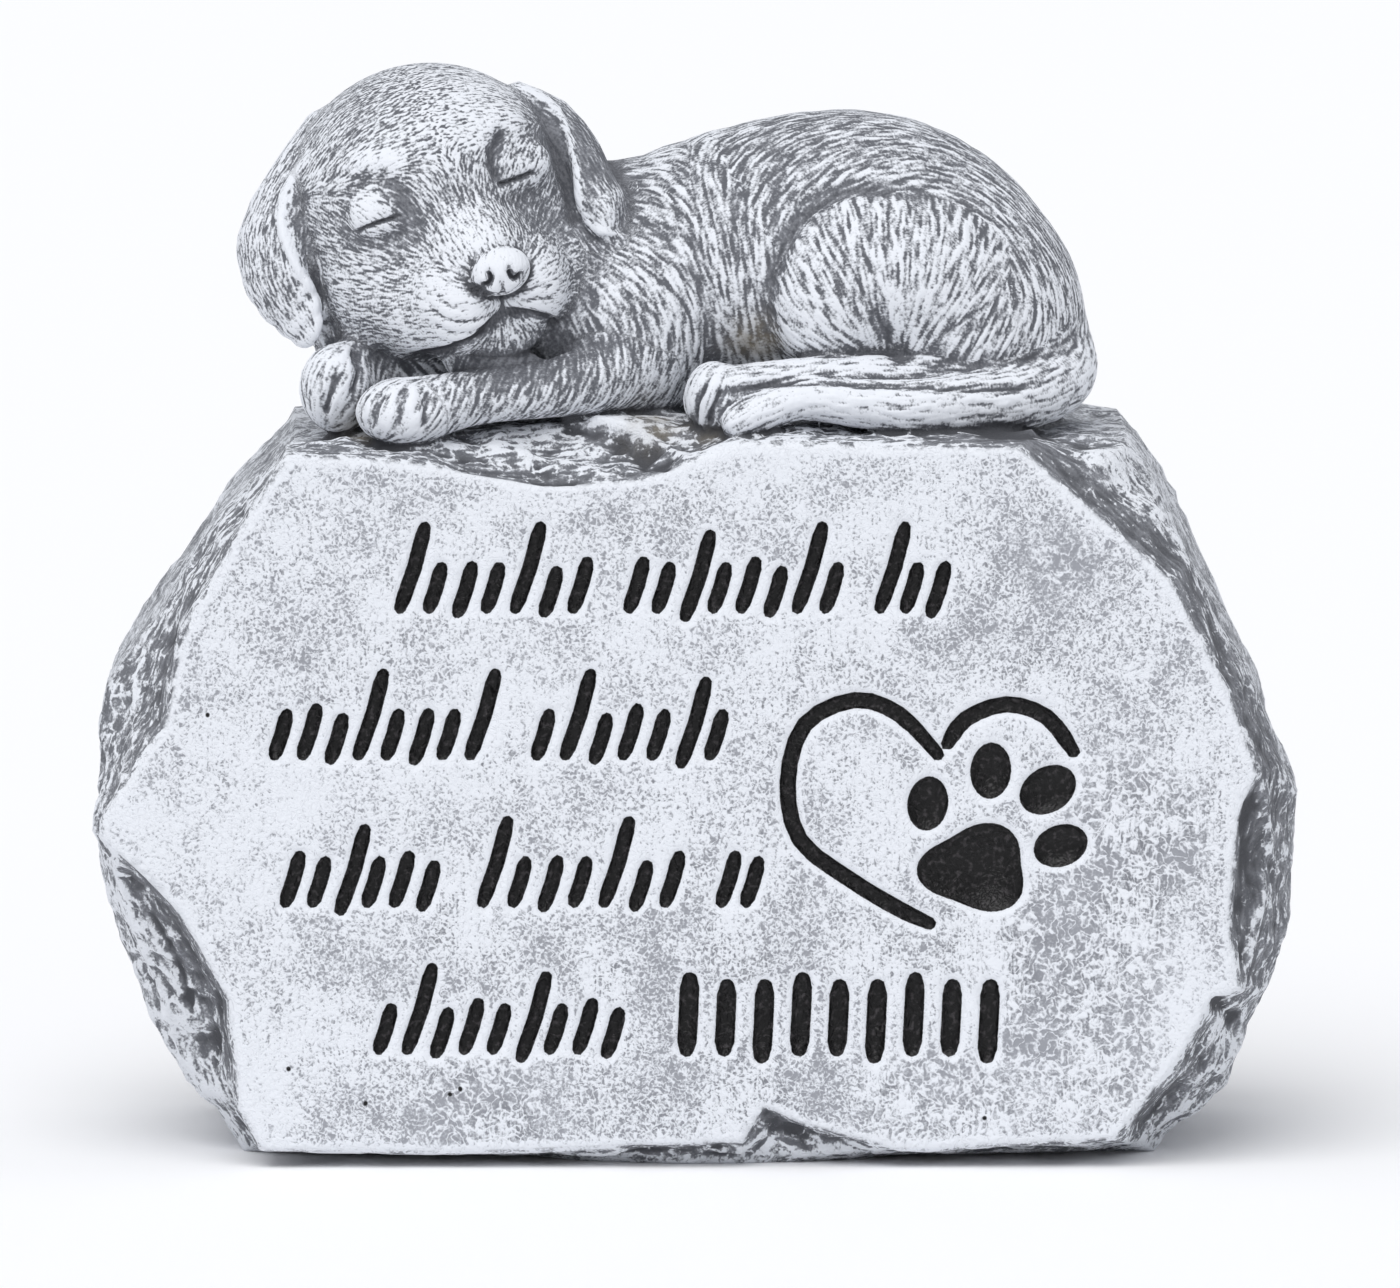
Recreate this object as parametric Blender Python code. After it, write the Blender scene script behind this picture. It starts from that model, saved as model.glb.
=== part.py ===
# Pet memorial stone, cast in one piece: an upright slab with chipped edges
# and, asleep along its top ledge, a puppy with its head on its forelegs.
# Metres, +Z up, the engraved face looks along -Y, and the origin is the
# middle of the flat underside.

import math

import bmesh
import bpy
import numpy as np
from mathutils import Euler, Matrix, Vector, noise

# The slab
STONE_WIDTH = 0.221
STONE_HEIGHT = 0.134  # underside to the ledge that the puppy lies on
STONE_DEPTH = 0.084

# Its chipped edges
FACE_LIP = 0.0014  # how far the face stands proud of the chips round it
FACE_LIP_OUT = 0.0010  # and how far that small step runs out
SIDE_CHIPS_BACK = 0.021  # how far back the chips reach at the sides
TOP_CHIPS_BACK = 0.013
FOOT_CHIPS_BACK = 0.004
CHIP_ROUGHNESS = 0.0026
CHIP_LENGTH = math.radians(6)  # chips are no longer than this, seen from the slab's middle
SIDE_ROUGHNESS = 0.0013
BACK_BEVEL = 0.006

# The puppy
PUPPY_LENGTH = 0.160  # its left ear to its rump
PUPPY_SINK = 0.002  # how far its underside is sunk in the ledge
PUPPY_SET_BACK = 0.042  # its own middle behind the engraved face
PUPPY_VOXEL = 0.0012
PUPPY_TRIANGLES = 6000
DETAIL_KEPT = 0.02  # how much more finely the carved places are kept
DETAIL_REACH = 3  # how many widths of a carved line count as its place

# The engraving
ENGRAVING_DEPTH = 0.0014
STROKE_WIDTH = 0.0028
STROKE_SPACING = 0.0054
STROKE_SLANT = math.radians(17)
STROKE_END = 0.75  # how wide a stroke's ends are, as a share of its width
STROKE_BOW = 0.58  # how far along its slant a stroke's middle lies; at 0.5 it is straight
SMALL_STROKE = 0.0084
TALL_STROKE = 0.0148
BOLD_STROKE_WIDTH = 0.0036
BOLD_STROKE = 0.0128
HEART_LINE = 0.0030
MOTIF_WIDTH = 0.0565  # heart and paw print together

MM = 0.001

# The outlines are drawn in mm on a stone of this width and height, from the
# left top corner down, along the foot, up the right side and back along the top
DRAWN_STONE = (221, 134)
FACE_OUTLINE = [
    (-75, 131.5), (-85, 115.5), (-94.5, 97.5), (-97.5, 82), (-109, 65), (-109, 61), (-95, 47),
    (-86, 31), (-84, 11), (-80, 3.5), (-45, 3), (-18, 4), (8, 5), (12, 11.5), (18.5, 8.5), (37, 3.5),
    (76, 5.5), (88, 20.5), (94, 31.5), (99, 33), (97, 45), (98.5, 64.5), (102, 73), (96.5, 88.5),
    (86, 109), (69.5, 123.5), (58.5, 133), (37, 133), (7.5, 133.5), (-11, 127), (-28, 126), (-54, 130.5),
]
STONE_OUTLINE = [
    (-75, 132), (-89, 117), (-103, 95), (-109, 86), (-110.5, 78), (-110.5, 53), (-105.6, 37),
    (-101, 24.5), (-94.5, 13), (-84, 0), (-18, 0), (55, 0), (84, 0), (97.5, 12), (106, 33), (109.3, 44),
    (110, 66), (101, 89), (83.5, 125), (78.5, 132.5), (45, 134), (20, 136), (-14, 137), (-50, 134.5),
]
OUTLINE_CENTRE = (0, 67.5)

# Large chips broken off along the face's edge: the angle round the stone and
# half the spread in degrees, then in mm how much deeper the step beside the
# face is, how much further out it runs, and how far its slope is hollowed
LARGE_CHIPS = [
    (36, 30, 3.6, 1.6, -1.0),
    (-150, 17, 1.0, 0.5, 5.0),
    (168, 14, 1.2, 0.5, 2.2),
    (104, 22, 1.6, 0.8, 2.4),
    (-28, 16, 1.0, 0.6, 2.6),
    (-84, 9, 1.6, 0.4, 1.0),
]

# Rows of strokes stand where an inscription would: the foot of each row up
# from the underside, and the start and end of each group of strokes across
# from the middle, in mm as drawn
STROKE_ROWS = [
    (103.6, [(-56, -19), (-14, 27), (32, 46)]),
    (76.5, [(-79, -38), (-31, 6)]),
    (49.3, [(-77, -47), (-41, -2), (3, 12)]),
    (22.1, [(-60, -13)]),
]
BOLD_GROUP = (22.1, (-4, 58))
MOTIF_CENTRE = (43.0, 60.5)

# The puppy is drawn in mm from the middle of the stone, its own middle line
# and its underside, for this length
DRAWN_PUPPY = 160
HEAD_CENTRE = (-50, -2, 44)
HEAD_YAW = math.radians(16.5)
HEAD_ROLL = math.radians(16)


# Small helpers

def clear_scene():
    for item in list(bpy.data.objects):
        bpy.data.objects.remove(item, do_unlink=True)


def stone_material():
    material = bpy.data.materials.new("cast_stone")
    material.use_nodes = True
    shader = material.node_tree.nodes["Principled BSDF"]
    shader.inputs["Base Color"].default_value = (0.45, 0.46, 0.49, 1)
    shader.inputs["Roughness"].default_value = 0.85
    shader.inputs["Metallic"].default_value = 0.0
    return material


def mesh_object(name, bm):
    mesh = bpy.data.meshes.new(name)
    bm.to_mesh(mesh)
    bm.free()
    item = bpy.data.objects.new(name, mesh)
    bpy.context.scene.collection.objects.link(item)
    return item


def apply_modifiers(item):
    graph = bpy.context.evaluated_depsgraph_get()
    mesh = bpy.data.meshes.new_from_object(item.evaluated_get(graph))
    item.modifiers.clear()
    item.data = mesh


def boolean(item, other, operation):
    modifier = item.modifiers.new(operation.lower(), "BOOLEAN")
    modifier.operation = operation
    modifier.solver = "EXACT"
    modifier.object = other
    apply_modifiers(item)
    bpy.data.objects.remove(other, do_unlink=True)


def wavering(position, scale, seed):
    """A smooth value between about -1 and 1 that changes over the given scale."""
    return noise.noise(Vector(position) / scale + Vector((seed, 2.7 * seed, 5.1)))


def smooth_curve(points, steps):
    """Points along a smooth curve through the given ones."""
    ends = [points[0]] + list(points) + [points[-1]]
    result = []
    for a, b, c, d in zip(ends, ends[1:], ends[2:], ends[3:]):
        for step in range(steps):
            t = step / steps
            result.append(tuple(
                0.5 * (2 * q + (r - p) * t + (2 * p - 5 * q + 4 * r - s) * t ** 2
                       + (3 * q - p - 3 * r + s) * t ** 3)
                for p, q, r, s in zip(a, b, c, d)))
    result.append(tuple(points[-1]))
    return result


# The slab

def angle_of(point):
    return math.atan2(point[1] - OUTLINE_CENTRE[1], point[0] - OUTLINE_CENTRE[0])


def reach(outline, angle):
    """How far the outline is from its centre at this angle, in drawn mm."""
    direction = Vector((math.cos(angle), math.sin(angle)))
    centre = Vector(OUTLINE_CENTRE)
    best = 0.0
    for start, end in zip(outline, outline[1:] + outline[:1]):
        a = Vector(start) - centre
        edge = Vector(end) - Vector(start)
        across = direction.x * edge.y - direction.y * edge.x
        if abs(across) < 1e-9:
            continue
        distance = (a.x * edge.y - a.y * edge.x) / across
        share = (a.x * direction.y - a.y * direction.x) / across
        if -1e-6 <= share <= 1 + 1e-6 and distance > best:
            best = distance
    return best


def chips_back(angle):
    """How far behind the face the chips end, for each side of the slab."""
    side = abs(math.cos(angle)) ** 1.5
    end = TOP_CHIPS_BACK if math.sin(angle) > 0 else FOOT_CHIPS_BACK
    return end + (SIDE_CHIPS_BACK - end) * min(1.0, side * 1.6)


def chip_value(angle, column):
    """One value of the large chips at this angle, faded out at their ends."""
    total = 0.0
    for chip in LARGE_CHIPS:
        away = (math.degrees(angle) - chip[0] + 180) % 360 - 180
        total += chip[column] * max(0.0, 1 - (away / chip[1]) ** 2)
    return total * MM


def on_face(x, z):
    """A drawn place on the face, in metres across and up."""
    return (x * STONE_WIDTH / DRAWN_STONE[0], z * STONE_HEIGHT / DRAWN_STONE[1])


def slab_rings():
    """The slab as rings of points from its face to its back."""
    face_y = -STONE_DEPTH / 2
    back_y = STONE_DEPTH / 2
    angles = sorted({round(angle_of(point), 4) for point in FACE_OUTLINE + STONE_OUTLINE})
    gaps = zip(angles, angles[1:] + [angles[0] + 2 * math.pi])
    angles = sorted(angles + [a + 0.55 * (b - a) for a, b in gaps if b - a > CHIP_LENGTH])

    def ring(reaches, depth, roughness, seed):
        points = []
        for angle, distance in zip(angles, reaches):
            x, z = on_face(OUTLINE_CENTRE[0] + math.cos(angle) * distance,
                           OUTLINE_CENTRE[1] + math.sin(angle) * distance)
            y = depth(angle)
            if roughness and z > 0.001:
                push = roughness * wavering((x, y, z), 0.013, seed)
                x += push * math.cos(angle)
                z += push * math.sin(angle)
                y += 0.6 * roughness * wavering((z, x, y), 0.011, seed + 9)
            points.append(Vector((x, y, max(z, 0.0))))
        return points

    face = [reach(FACE_OUTLINE, angle) for angle in angles]
    outer = [reach(STONE_OUTLINE, angle) for angle in angles]
    lip = [distance + (FACE_LIP_OUT + chip_value(angle, 3)) / MM for angle, distance in zip(angles, face)]
    hollow = [chip_value(angle, 4) / MM for angle in angles]
    inner = [0.68 * a + 0.32 * max(a, b) - 0.6 * dip for a, b, dip in zip(lip, outer, hollow)]
    middle = [0.36 * a + 0.64 * max(a, b) - dip for a, b, dip in zip(lip, outer, hollow)]
    inset = [distance - BACK_BEVEL / MM for distance in outer]

    def slope_depth(share):
        return lambda angle: (face_y + FACE_LIP + chip_value(angle, 2) * (1 - share)
                              + share * chips_back(angle))

    rings = [
        ring(face, lambda angle: face_y, 0, 0),
        ring(lip, slope_depth(0), 0, 0),
        ring(inner, slope_depth(0.26), CHIP_ROUGHNESS * 0.7, 2),
        ring(middle, slope_depth(0.55), CHIP_ROUGHNESS, 3),
        ring(outer, slope_depth(1), SIDE_ROUGHNESS / 2, 4),
    ]
    side_rings = 2
    for number in range(1, side_rings + 1):
        share = number / (side_rings + 1)
        rings.append(ring(
            outer, lambda angle: face_y + chips_back(angle)
            + share * (back_y - BACK_BEVEL - face_y - chips_back(angle)), SIDE_ROUGHNESS, 4 + number))
    rings.append(ring(outer, lambda angle: back_y - BACK_BEVEL, SIDE_ROUGHNESS, 8))
    rings.append(ring(inset, lambda angle: back_y, 0, 0))
    return rings


def slab():
    bm = bmesh.new()
    rings = [[bm.verts.new(point) for point in ring] for ring in slab_rings()]
    count = len(rings[0])
    bm.faces.new(list(rings[0]))
    bm.faces.new(list(reversed(rings[-1])))
    for front, back in zip(rings, rings[1:]):
        for k in range(count):
            n = (k + 1) % count
            bm.faces.new((front[n], front[k], back[k], back[n]))
    bmesh.ops.recalc_face_normals(bm, faces=bm.faces)
    return mesh_object("memorial_stone", bm)


# The engraving

def add_prism(bm, outline, depth):
    """A closed prism over an outline on the face, to cut a groove with."""
    face_y = -STONE_DEPTH / 2
    front = [bm.verts.new((x, face_y - 0.002, z)) for x, z in outline]
    back = [bm.verts.new((x, face_y + depth, z)) for x, z in outline]
    count = len(outline)
    faces = [bm.faces.new(front), bm.faces.new(list(reversed(back)))]
    for k in range(count):
        n = (k + 1) % count
        faces.append(bm.faces.new((front[n], front[k], back[k], back[n])))
    bmesh.ops.recalc_face_normals(bm, faces=faces)


def stroke_outline(points, width, end_share):
    """The outline of a brush stroke along some points, whose ends are this share of its width."""
    left = []
    right = []
    for k, point in enumerate(points):
        before = Vector(points[max(k - 1, 0)])
        after = Vector(points[min(k + 1, len(points) - 1)])
        along = (after - before).normalized()
        aside = Vector((-along.y, along.x))
        share = k / (len(points) - 1)
        full = min(1.0, end_share + 3.0 * min(share, 1 - share))
        left.append(Vector(point) + aside * width / 2 * full)
        right.append(Vector(point) - aside * width / 2 * full)
    return [tuple(p) for p in left + list(reversed(right))]


def stroke_group(start, end, foot, height_of, width, slant, spacing):
    """Slanted strokes side by side that fill the place of one word."""
    left, foot = on_face(start, foot)
    length = on_face(end, 0)[0] - left
    count = max(2, round(length / spacing))
    strokes = []
    for k in range(count):
        height = height_of(k)
        x = left + length * (k + 0.25) / count
        low = foot - 0.10 * height * (k % 3 == 2)
        lean = math.tan(slant) * height
        strokes.append(stroke_outline(
            [(x, low), (x + STROKE_BOW * lean, low + height / 2), (x + lean, low + height)],
            width, STROKE_END))
    return strokes


def slender_height(k):
    return TALL_STROKE if k % 4 == 0 else SMALL_STROKE * (1 - 0.12 * (k % 2))


def bold_height(k):
    return BOLD_STROKE * (1 - 0.1 * (k % 3 == 1))


def stroke_outlines():
    outlines = []
    for number, (foot, groups) in enumerate(STROKE_ROWS):
        for place, (start, end) in enumerate(groups):
            shift = number + 2 * place
            outlines += stroke_group(start, end, foot, lambda k, shift=shift: slender_height(k + shift),
                                     STROKE_WIDTH, STROKE_SLANT, STROKE_SPACING)
    foot, (start, end) = BOLD_GROUP
    outlines += stroke_group(start, end, foot, bold_height, BOLD_STROKE_WIDTH,
                             STROKE_SLANT / 6, STROKE_SPACING * 1.35)
    return outlines


# Heart and paw print as shares of the motif's width, from its centre
HEART_LINES = [
    [(0.013, 0.285), (-0.110, 0.414), (-0.256, 0.462), (-0.418, 0.382), (-0.473, 0.195), (-0.434, 0.006),
     (-0.272, -0.124), (-0.110, -0.222), (-0.013, -0.268)],
    [(0.045, 0.320), (0.104, 0.400), (0.234, 0.448), (0.366, 0.407), (0.453, 0.294)],
]
PAW_TOES = [  # middle across and up, half width, half height, turn to the left
    (-0.019, 0.124, 0.066, 0.089, math.radians(-8)),
    (0.185, 0.231, 0.066, 0.092, math.radians(-4)),
    (0.370, 0.169, 0.098, 0.074, math.radians(32)),
    (0.412, -0.014, 0.090, 0.068, math.radians(20)),
]
PAW_PAD = (0.137, -0.088, 0.170, 0.138)


def ellipse(x, z, half_width, half_height, lean, sides):
    """An ellipse on the face, turned to the left by its lean."""
    outline = []
    for k in range(sides):
        t = 2 * math.pi * k / sides
        a = half_width * math.cos(t)
        b = half_height * math.sin(t)
        outline.append((x + a * math.cos(lean) - b * math.sin(lean),
                        z + a * math.sin(lean) + b * math.cos(lean)))
    return outline


def pad_outline(x, z, half_width, half_height, sides):
    """A rounded pad with three corners, of which the right one hangs lower."""
    outline = []
    for k in range(sides):
        t = 2 * math.pi * k / sides
        bulge = 1 + 0.13 * math.cos(3 * (t - math.radians(65)))
        outline.append((x + half_width * bulge * math.cos(t), z + half_height * bulge * math.sin(t)))
    return outline


def on_motif(point):
    x, z = on_face(*MOTIF_CENTRE)
    return (x + point[0] * MOTIF_WIDTH, z + point[1] * MOTIF_WIDTH)


def heart_outline(line):
    return stroke_outline([on_motif(point) for point in smooth_curve(line, 2)], HEART_LINE, STROKE_END)


def paw_outlines():
    shapes = [ellipse(*toe, 12) for toe in PAW_TOES] + [pad_outline(*PAW_PAD, 18)]
    return [[on_motif(point) for point in shape] for shape in shapes]


def engraving_cutter(outlines):
    bm = bmesh.new()
    for outline in outlines:
        add_prism(bm, outline, ENGRAVING_DEPTH)
    return mesh_object("engraving_cutter", bm)


# The puppy, as rounded masses that run into each other

def head_turn():
    yaw = Matrix.Rotation(HEAD_YAW, 3, "Z")
    roll = Matrix.Rotation(-HEAD_ROLL, 3, "Y")
    return np.array(yaw @ roll)


def ball(centre, radii, blend, degrees=(0, 0, 0), on_head=False):
    turn = np.array(Euler([math.radians(a) for a in degrees]).to_matrix())
    centre = np.array(centre, float)
    if on_head:
        turn = head_turn() @ turn
        centre = np.array(HEAD_CENTRE) + head_turn() @ centre
    return {"kind": "ball", "centre": centre, "radii": np.array(radii, float), "turn": turn, "blend": blend}


def limb(stations, blend):
    return {"kind": "limb", "stations": np.array(smooth_curve(stations, 3), float), "blend": blend}


def flap(stations, facing, thinness, blend):
    normal = Vector(facing).normalized()
    return {"kind": "flap", "stations": np.array(smooth_curve(stations, 2), float),
            "normal": np.array(normal), "thinness": thinness, "blend": blend}


def both_sides(x, y, z, radii, blend):
    return [ball((x, y, z), radii, blend, on_head=True), ball((-x, y, z), radii, blend, on_head=True)]


def body_parts():
    return [
        limb([(-32, 6, 26, 18), (-12, 7, 26.5, 21.6), (9, 7, 29.2, 26.1), (27, 7, 29.8, 28.6),
              (37.5, 6.5, 27.6, 27.2), (44, 6, 22.8, 25.3)], 8),
        ball((45, 6, 14), (25.6, 24, 25), 8),
        ball((46, -5, 20), (19, 17.5, 21), 8),
        ball((-17, 0, 20), (19, 21, 20), 8),
        ball((-13, -11, 18), (13, 11, 16), 6),
        ball((35, -13, 29.5), (22.3, 13.5, 16.2), 2.5, (0, 8, 0)),
        ball((24, -18, 25.5), (11.5, 8.8, 12.8), 3),
        limb([(58, -18, 9.5, 4.5), (30, -23, 11.5, 4.8), (8, -27, 10, 4.8)], 1.5),
        ball((2.8, -25.5, 8.2), (5.6, 6.6, 7), 2),
        limb([(59, 11, 18, 10.5), (65.5, 1, 13.5, 7.8), (65.2, -9, 10, 6.9), (57, -20, 7.6, 6.2),
              (46, -26, 7, 5.6), (37, -29, 7.2, 4.9), (27, -30, 8.2, 4.3), (18.5, -31, 8.8, 3.7),
              (11, -32, 6.2, 3.5), (7.4, -32.5, 4.6, 3.3)], 2),
        limb([(-12, -14, 14, 9), (-20, -22, 11.5, 6.4), (-29, -26, 10, 5.2), (-40, -28, 9, 5),
              (-48, -29, 7.6, 5.6)], 2.5),
        ball((-37, -23.5, 14), (9, 4.5, 3.5), 1),
        ball((-54, -30, 6.4), (8.9, 8, 6.3), 2),
        ball((-66.5, -19, 9.5), (6.9, 7.5, 8.2), 2.5),
        ball((-62, -10, 9), (9, 10, 9), 3),
        ball((-48, -4, 11), (19, 13, 13), 3),
        limb([(-48, 6, 34, 20), (-24, 7, 28, 20)], 7),
    ]


def head_parts():
    return (
        [ball((-0.5, 0, 0.5), (25.3, 24, 23.4), 3, on_head=True),
         ball((0, -10, 4), (18, 12.5, 15), 6, on_head=True)]
        + both_sides(12.8, -6.5, -12, (12.5, 14, 12.8), 6)
        + both_sides(9.5, -17, -17, (9.5, 11, 9.6), 5)
        + [ball((0, -23.5, -11), (11, 10.5, 8.5), 6, on_head=True)]
        + both_sides(6.5, -26.5, -16.6, (7.9, 8.2, 9), 3)
        + [ball((0, -24, -5.5), (6.3, 11, 5.3), 5, (18, 0, 0), on_head=True),
           ball((1, -22.3, -23.6), (8.6, 9, 6.4), 1.2, on_head=True),
           ball((-0.4, -35, -11.6), (6.5, 4.5, 4.9), 0.5, on_head=True)]
        + both_sides(13.7, -17.4, 2.4, (6.0, 4.4, 5.0), 1.4)
        + both_sides(10.2, -15.5, 9.8, (6, 4.4, 3.4), 4)
    )


def ear_parts():
    return [
        ball((-66.5, -6.5, 27), (7, 7.5, 14), 2),
        flap([(-69.5, -4, 53.8, 5.6), (-75, -7, 44.2, 7), (-78.5, -10, 34.5, 8.6), (-76.6, -12.5, 27, 6.9),
              (-72.5, -15, 20.5, 4.0)], (-0.70, -0.71, 0.1), 0.46, 1.5),
        flap([(-33, 1, 58.6, 5.6), (-26, 1, 54.2, 6.9), (-21.2, -2, 48.2, 7.3), (-18.9, -6.5, 43.6, 7.1),
              (-17.0, -10, 40.4, 5.8)], (0.93, -0.35, 0.1), 0.46, 1.2),
    ]


def ball_distance(points, part):
    local = (points - part["centre"]) @ part["turn"] / part["radii"]
    near = np.linalg.norm(local, axis=1)
    steep = np.linalg.norm(local / part["radii"], axis=1)
    return near * (near - 1) / np.maximum(steep, 1e-6)


def limb_distance(points, stations):
    """Distance to a chain of round cones given as x, y, z and radius."""
    result = None
    for start, end in zip(stations, stations[1:]):
        along = end[:3] - start[:3]
        share = np.clip((points - start[:3]) @ along / (along @ along), 0, 1)
        nearest = start[:3] + share[:, None] * along
        radius = start[3] + share * (end[3] - start[3])
        distance = np.linalg.norm(points - nearest, axis=1) - radius
        result = distance if result is None else np.minimum(result, distance)
    return result


def flap_distance(points, part):
    """A chain of flattened cones: a limb after the thin direction is stretched."""
    normal = part["normal"]
    stretch = 1 / part["thinness"] - 1
    stations = part["stations"].copy()
    stations[:, :3] += np.outer(stations[:, :3] @ normal, normal) * stretch
    stretched = points + np.outer(points @ normal, normal) * stretch
    return limb_distance(stretched, stations) * part["thinness"]


def part_distance(points, part):
    if part["kind"] == "ball":
        return ball_distance(points, part)
    if part["kind"] == "limb":
        return limb_distance(points, part["stations"])
    return flap_distance(points, part)


def puppy_distance(points, parts):
    """Distance to the puppy's surface, where the masses run into each other."""
    result = None
    for part in parts:
        distance = part_distance(points, part)
        if result is None:
            result = distance
            continue
        blend = part["blend"]
        overlap = np.maximum(blend - np.abs(result - distance), 0) / blend
        result = np.minimum(result, distance) - overlap ** 2 * blend / 4
    return result


def slope(points, parts):
    """Which way, and how fast, the distance grows at each point."""
    step = 0.05
    here = puppy_distance(points, parts)
    gradient = np.zeros_like(points)
    for axis in range(3):
        moved = points.copy()
        moved[:, axis] += step
        gradient[:, axis] = (puppy_distance(moved, parts) - here) / step
    return here, gradient


def add_ball_mesh(bm, centre, radii, turn):
    matrix = Matrix.Translation(centre) @ Matrix(turn.tolist()).to_4x4() @ Matrix.Diagonal((*radii, 1))
    bmesh.ops.create_icosphere(bm, subdivisions=3, radius=1, matrix=matrix)


def rough_puppy(parts):
    """Balls for every mass, remeshed into one closed skin."""
    bm = bmesh.new()
    for part in parts:
        if part["kind"] == "ball":
            add_ball_mesh(bm, part["centre"], part["radii"], part["turn"])
            continue
        turn = np.eye(3)
        thin = 1.0
        if part["kind"] == "flap":
            turn = np.array(Vector(part["normal"]).to_track_quat("Z", "Y").to_matrix())
            thin = part["thinness"]
        for start, end in zip(part["stations"], part["stations"][1:]):
            for share in (0, 0.5, 1):
                x, y, z, radius = start + (end - start) * share
                add_ball_mesh(bm, (x, y, z), (radius, radius, radius * thin), turn)
    item = mesh_object("puppy", bm)
    remesh = item.modifiers.new("skin", "REMESH")
    remesh.mode = "VOXEL"
    remesh.voxel_size = PUPPY_VOXEL / PUPPY_LENGTH * DRAWN_PUPPY
    remesh.adaptivity = 0
    apply_modifiers(item)
    return item


def mesh_points(mesh):
    points = np.empty(len(mesh.vertices) * 3)
    mesh.vertices.foreach_get("co", points)
    return points.reshape(-1, 3)


def set_mesh_points(mesh, points):
    mesh.vertices.foreach_set("co", points.ravel())
    mesh.update()


def relaxed(points, edges, amount):
    """Each point moved towards the middle of its neighbours."""
    total = np.zeros_like(points)
    count = np.zeros(len(points))
    for a, b in ((0, 1), (1, 0)):
        np.add.at(total, edges[:, a], points[edges[:, b]])
        np.add.at(count, edges[:, a], 1)
    return points + amount * (total / count[:, None] - points)


def settle_on_masses(item, parts):
    """Moves the rough skin onto the smooth surface of the masses."""
    mesh = item.data
    edges = np.empty(len(mesh.edges) * 2, dtype=np.int32)
    mesh.edges.foreach_get("vertices", edges)
    edges = edges.reshape(-1, 2)
    points = mesh_points(mesh)
    for turn in range(5):
        if turn < 3:
            points = relaxed(points, edges, 0.5)
        distance, gradient = slope(points, parts)
        steep = np.maximum((gradient ** 2).sum(axis=1), 0.2)
        move = np.clip(distance / steep, -1.5, 1.5)
        points = points - gradient * move[:, None]
    distance, gradient = slope(points, parts)
    normals = gradient / np.maximum(np.linalg.norm(gradient, axis=1), 1e-6)[:, None]
    return points, normals


# Carving on the puppy's front, as lines in mm as the front is seen from a
# little above: each has its points, its width and its depth, and a negative
# depth raises a ridge
VIEW_RISE = math.tan(math.radians(7))
CARVED_LINES = [
    ("left eyelid", [(-63.5, 35.6), (-58.2, 37.4), (-54, 39.4)], 0.6, 0.8),
    ("left lower lid", [(-61.5, 33.4), (-57.8, 34), (-53.6, 36)], 1.2, 0.3),
    ("left eye socket", [(-64.6, 44.3), (-60.6, 46), (-56.9, 45.2), (-54.2, 42.4), (-52.3, 37.3)],
     1.9, 1.3),
    ("right eyelid", [(-36.6, 44.7), (-33.3, 45.9), (-29.8, 47.3)], 0.6, 0.8),
    ("right lower lid", [(-36.6, 42.2), (-33.4, 42.4), (-30.2, 44)], 1.2, 0.3),
    ("right eye socket", [(-34.6, 55.8), (-37.3, 51.5), (-37.7, 48.7), (-37, 45.2)], 1.7, 1.4),
    ("left nostril", [(-38.8, 25.5), (-39, 27.2), (-38.1, 27.9)], 1.0, 1.4),
    ("right nostril", [(-35.3, 28.4), (-33.9, 29.5), (-32.2, 29.2)], 1.0, 1.4),
    ("nose fold", [(-42.6, 26.4), (-40, 24.4), (-35.6, 23.4), (-31.7, 25.7), (-30, 28.3)], 0.9, 1.0),
    ("nose parting", [(-35.9, 28.1), (-35.8, 21.1)], 0.7, 0.7),
    ("left lip", [(-35.7, 21.4), (-39.5, 16.8), (-43, 14.8), (-47.4, 13.5), (-53.3, 12.8)], 1.0, 1.5),
    ("right lip", [(-35.3, 21.1), (-30.5, 20.5), (-26.2, 19.4)], 1.0, 1.3),
    ("left ear rim", [(-71.6, 50.6), (-75.6, 44), (-76.5, 37.1), (-74, 30), (-70.5, 23.8),
                      (-69.6, 18.7)], 1.0, -1.0),
    ("left ear shadow", [(-72.1, 44.5), (-73.5, 38), (-71.2, 30.3), (-68.1, 21.1)], 1.2, 1.0),
    ("right ear rim", [(-33.3, 63.5), (-26.4, 58.9), (-22.7, 49.1), (-21.6, 41), (-19, 36.8),
                       (-14.3, 35.4)], 0.9, -0.9),
    ("right ear shadow", [(-27.6, 56.5), (-25, 48.5), (-23.9, 41), (-23, 36.9)], 1.2, 1.2),
    ("near paw toe 1", [(-57.7, 6.7), (-59.3, 3), (-60.2, -0.3)], 0.8, 1.0),
    ("near paw toe 2", [(-53.1, 7.8), (-54.4, 3.4), (-54.9, -1.1)], 0.8, 1.0),
    ("near paw toe 3", [(-49.1, 6.7), (-49.2, 3), (-48.9, -0.7)], 0.8, 0.8),
    ("far paw toe 1", [(-66.4, 10), (-67.9, 5.9), (-69, 2.3)], 0.9, 1.0),
    ("far paw toe 2", [(-63.5, 14.8), (-62.2, 10.7), (-63.5, 5.9)], 0.9, 1.0),
    ("hind paw toe 1", [(1.5, 8.2), (-0.4, 4.5), (-0.9, 0.8)], 0.8, 0.9),
    ("hind paw toe 2", [(4.2, 7.1), (2.6, 3.5), (1.6, -0.1)], 0.8, 0.9),
    ("foot above the tail", [(4.6, 5.9), (12.1, 7.8), (24, 8.2), (53, 6.9), (63, 7.8)], 0.8, 0.6),
    ("haunch edge", [(13.4, 15), (12.6, 21.4), (13.5, 27.9), (17.5, 37), (24.3, 42.8), (32, 44.1),
                     (42.6, 42.1)], 1.6, 0.7),
    ("haunch fold", [(37.7, 11.1), (35.3, 16.3), (29.8, 25.1)], 2.0, 0.5),
]


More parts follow.
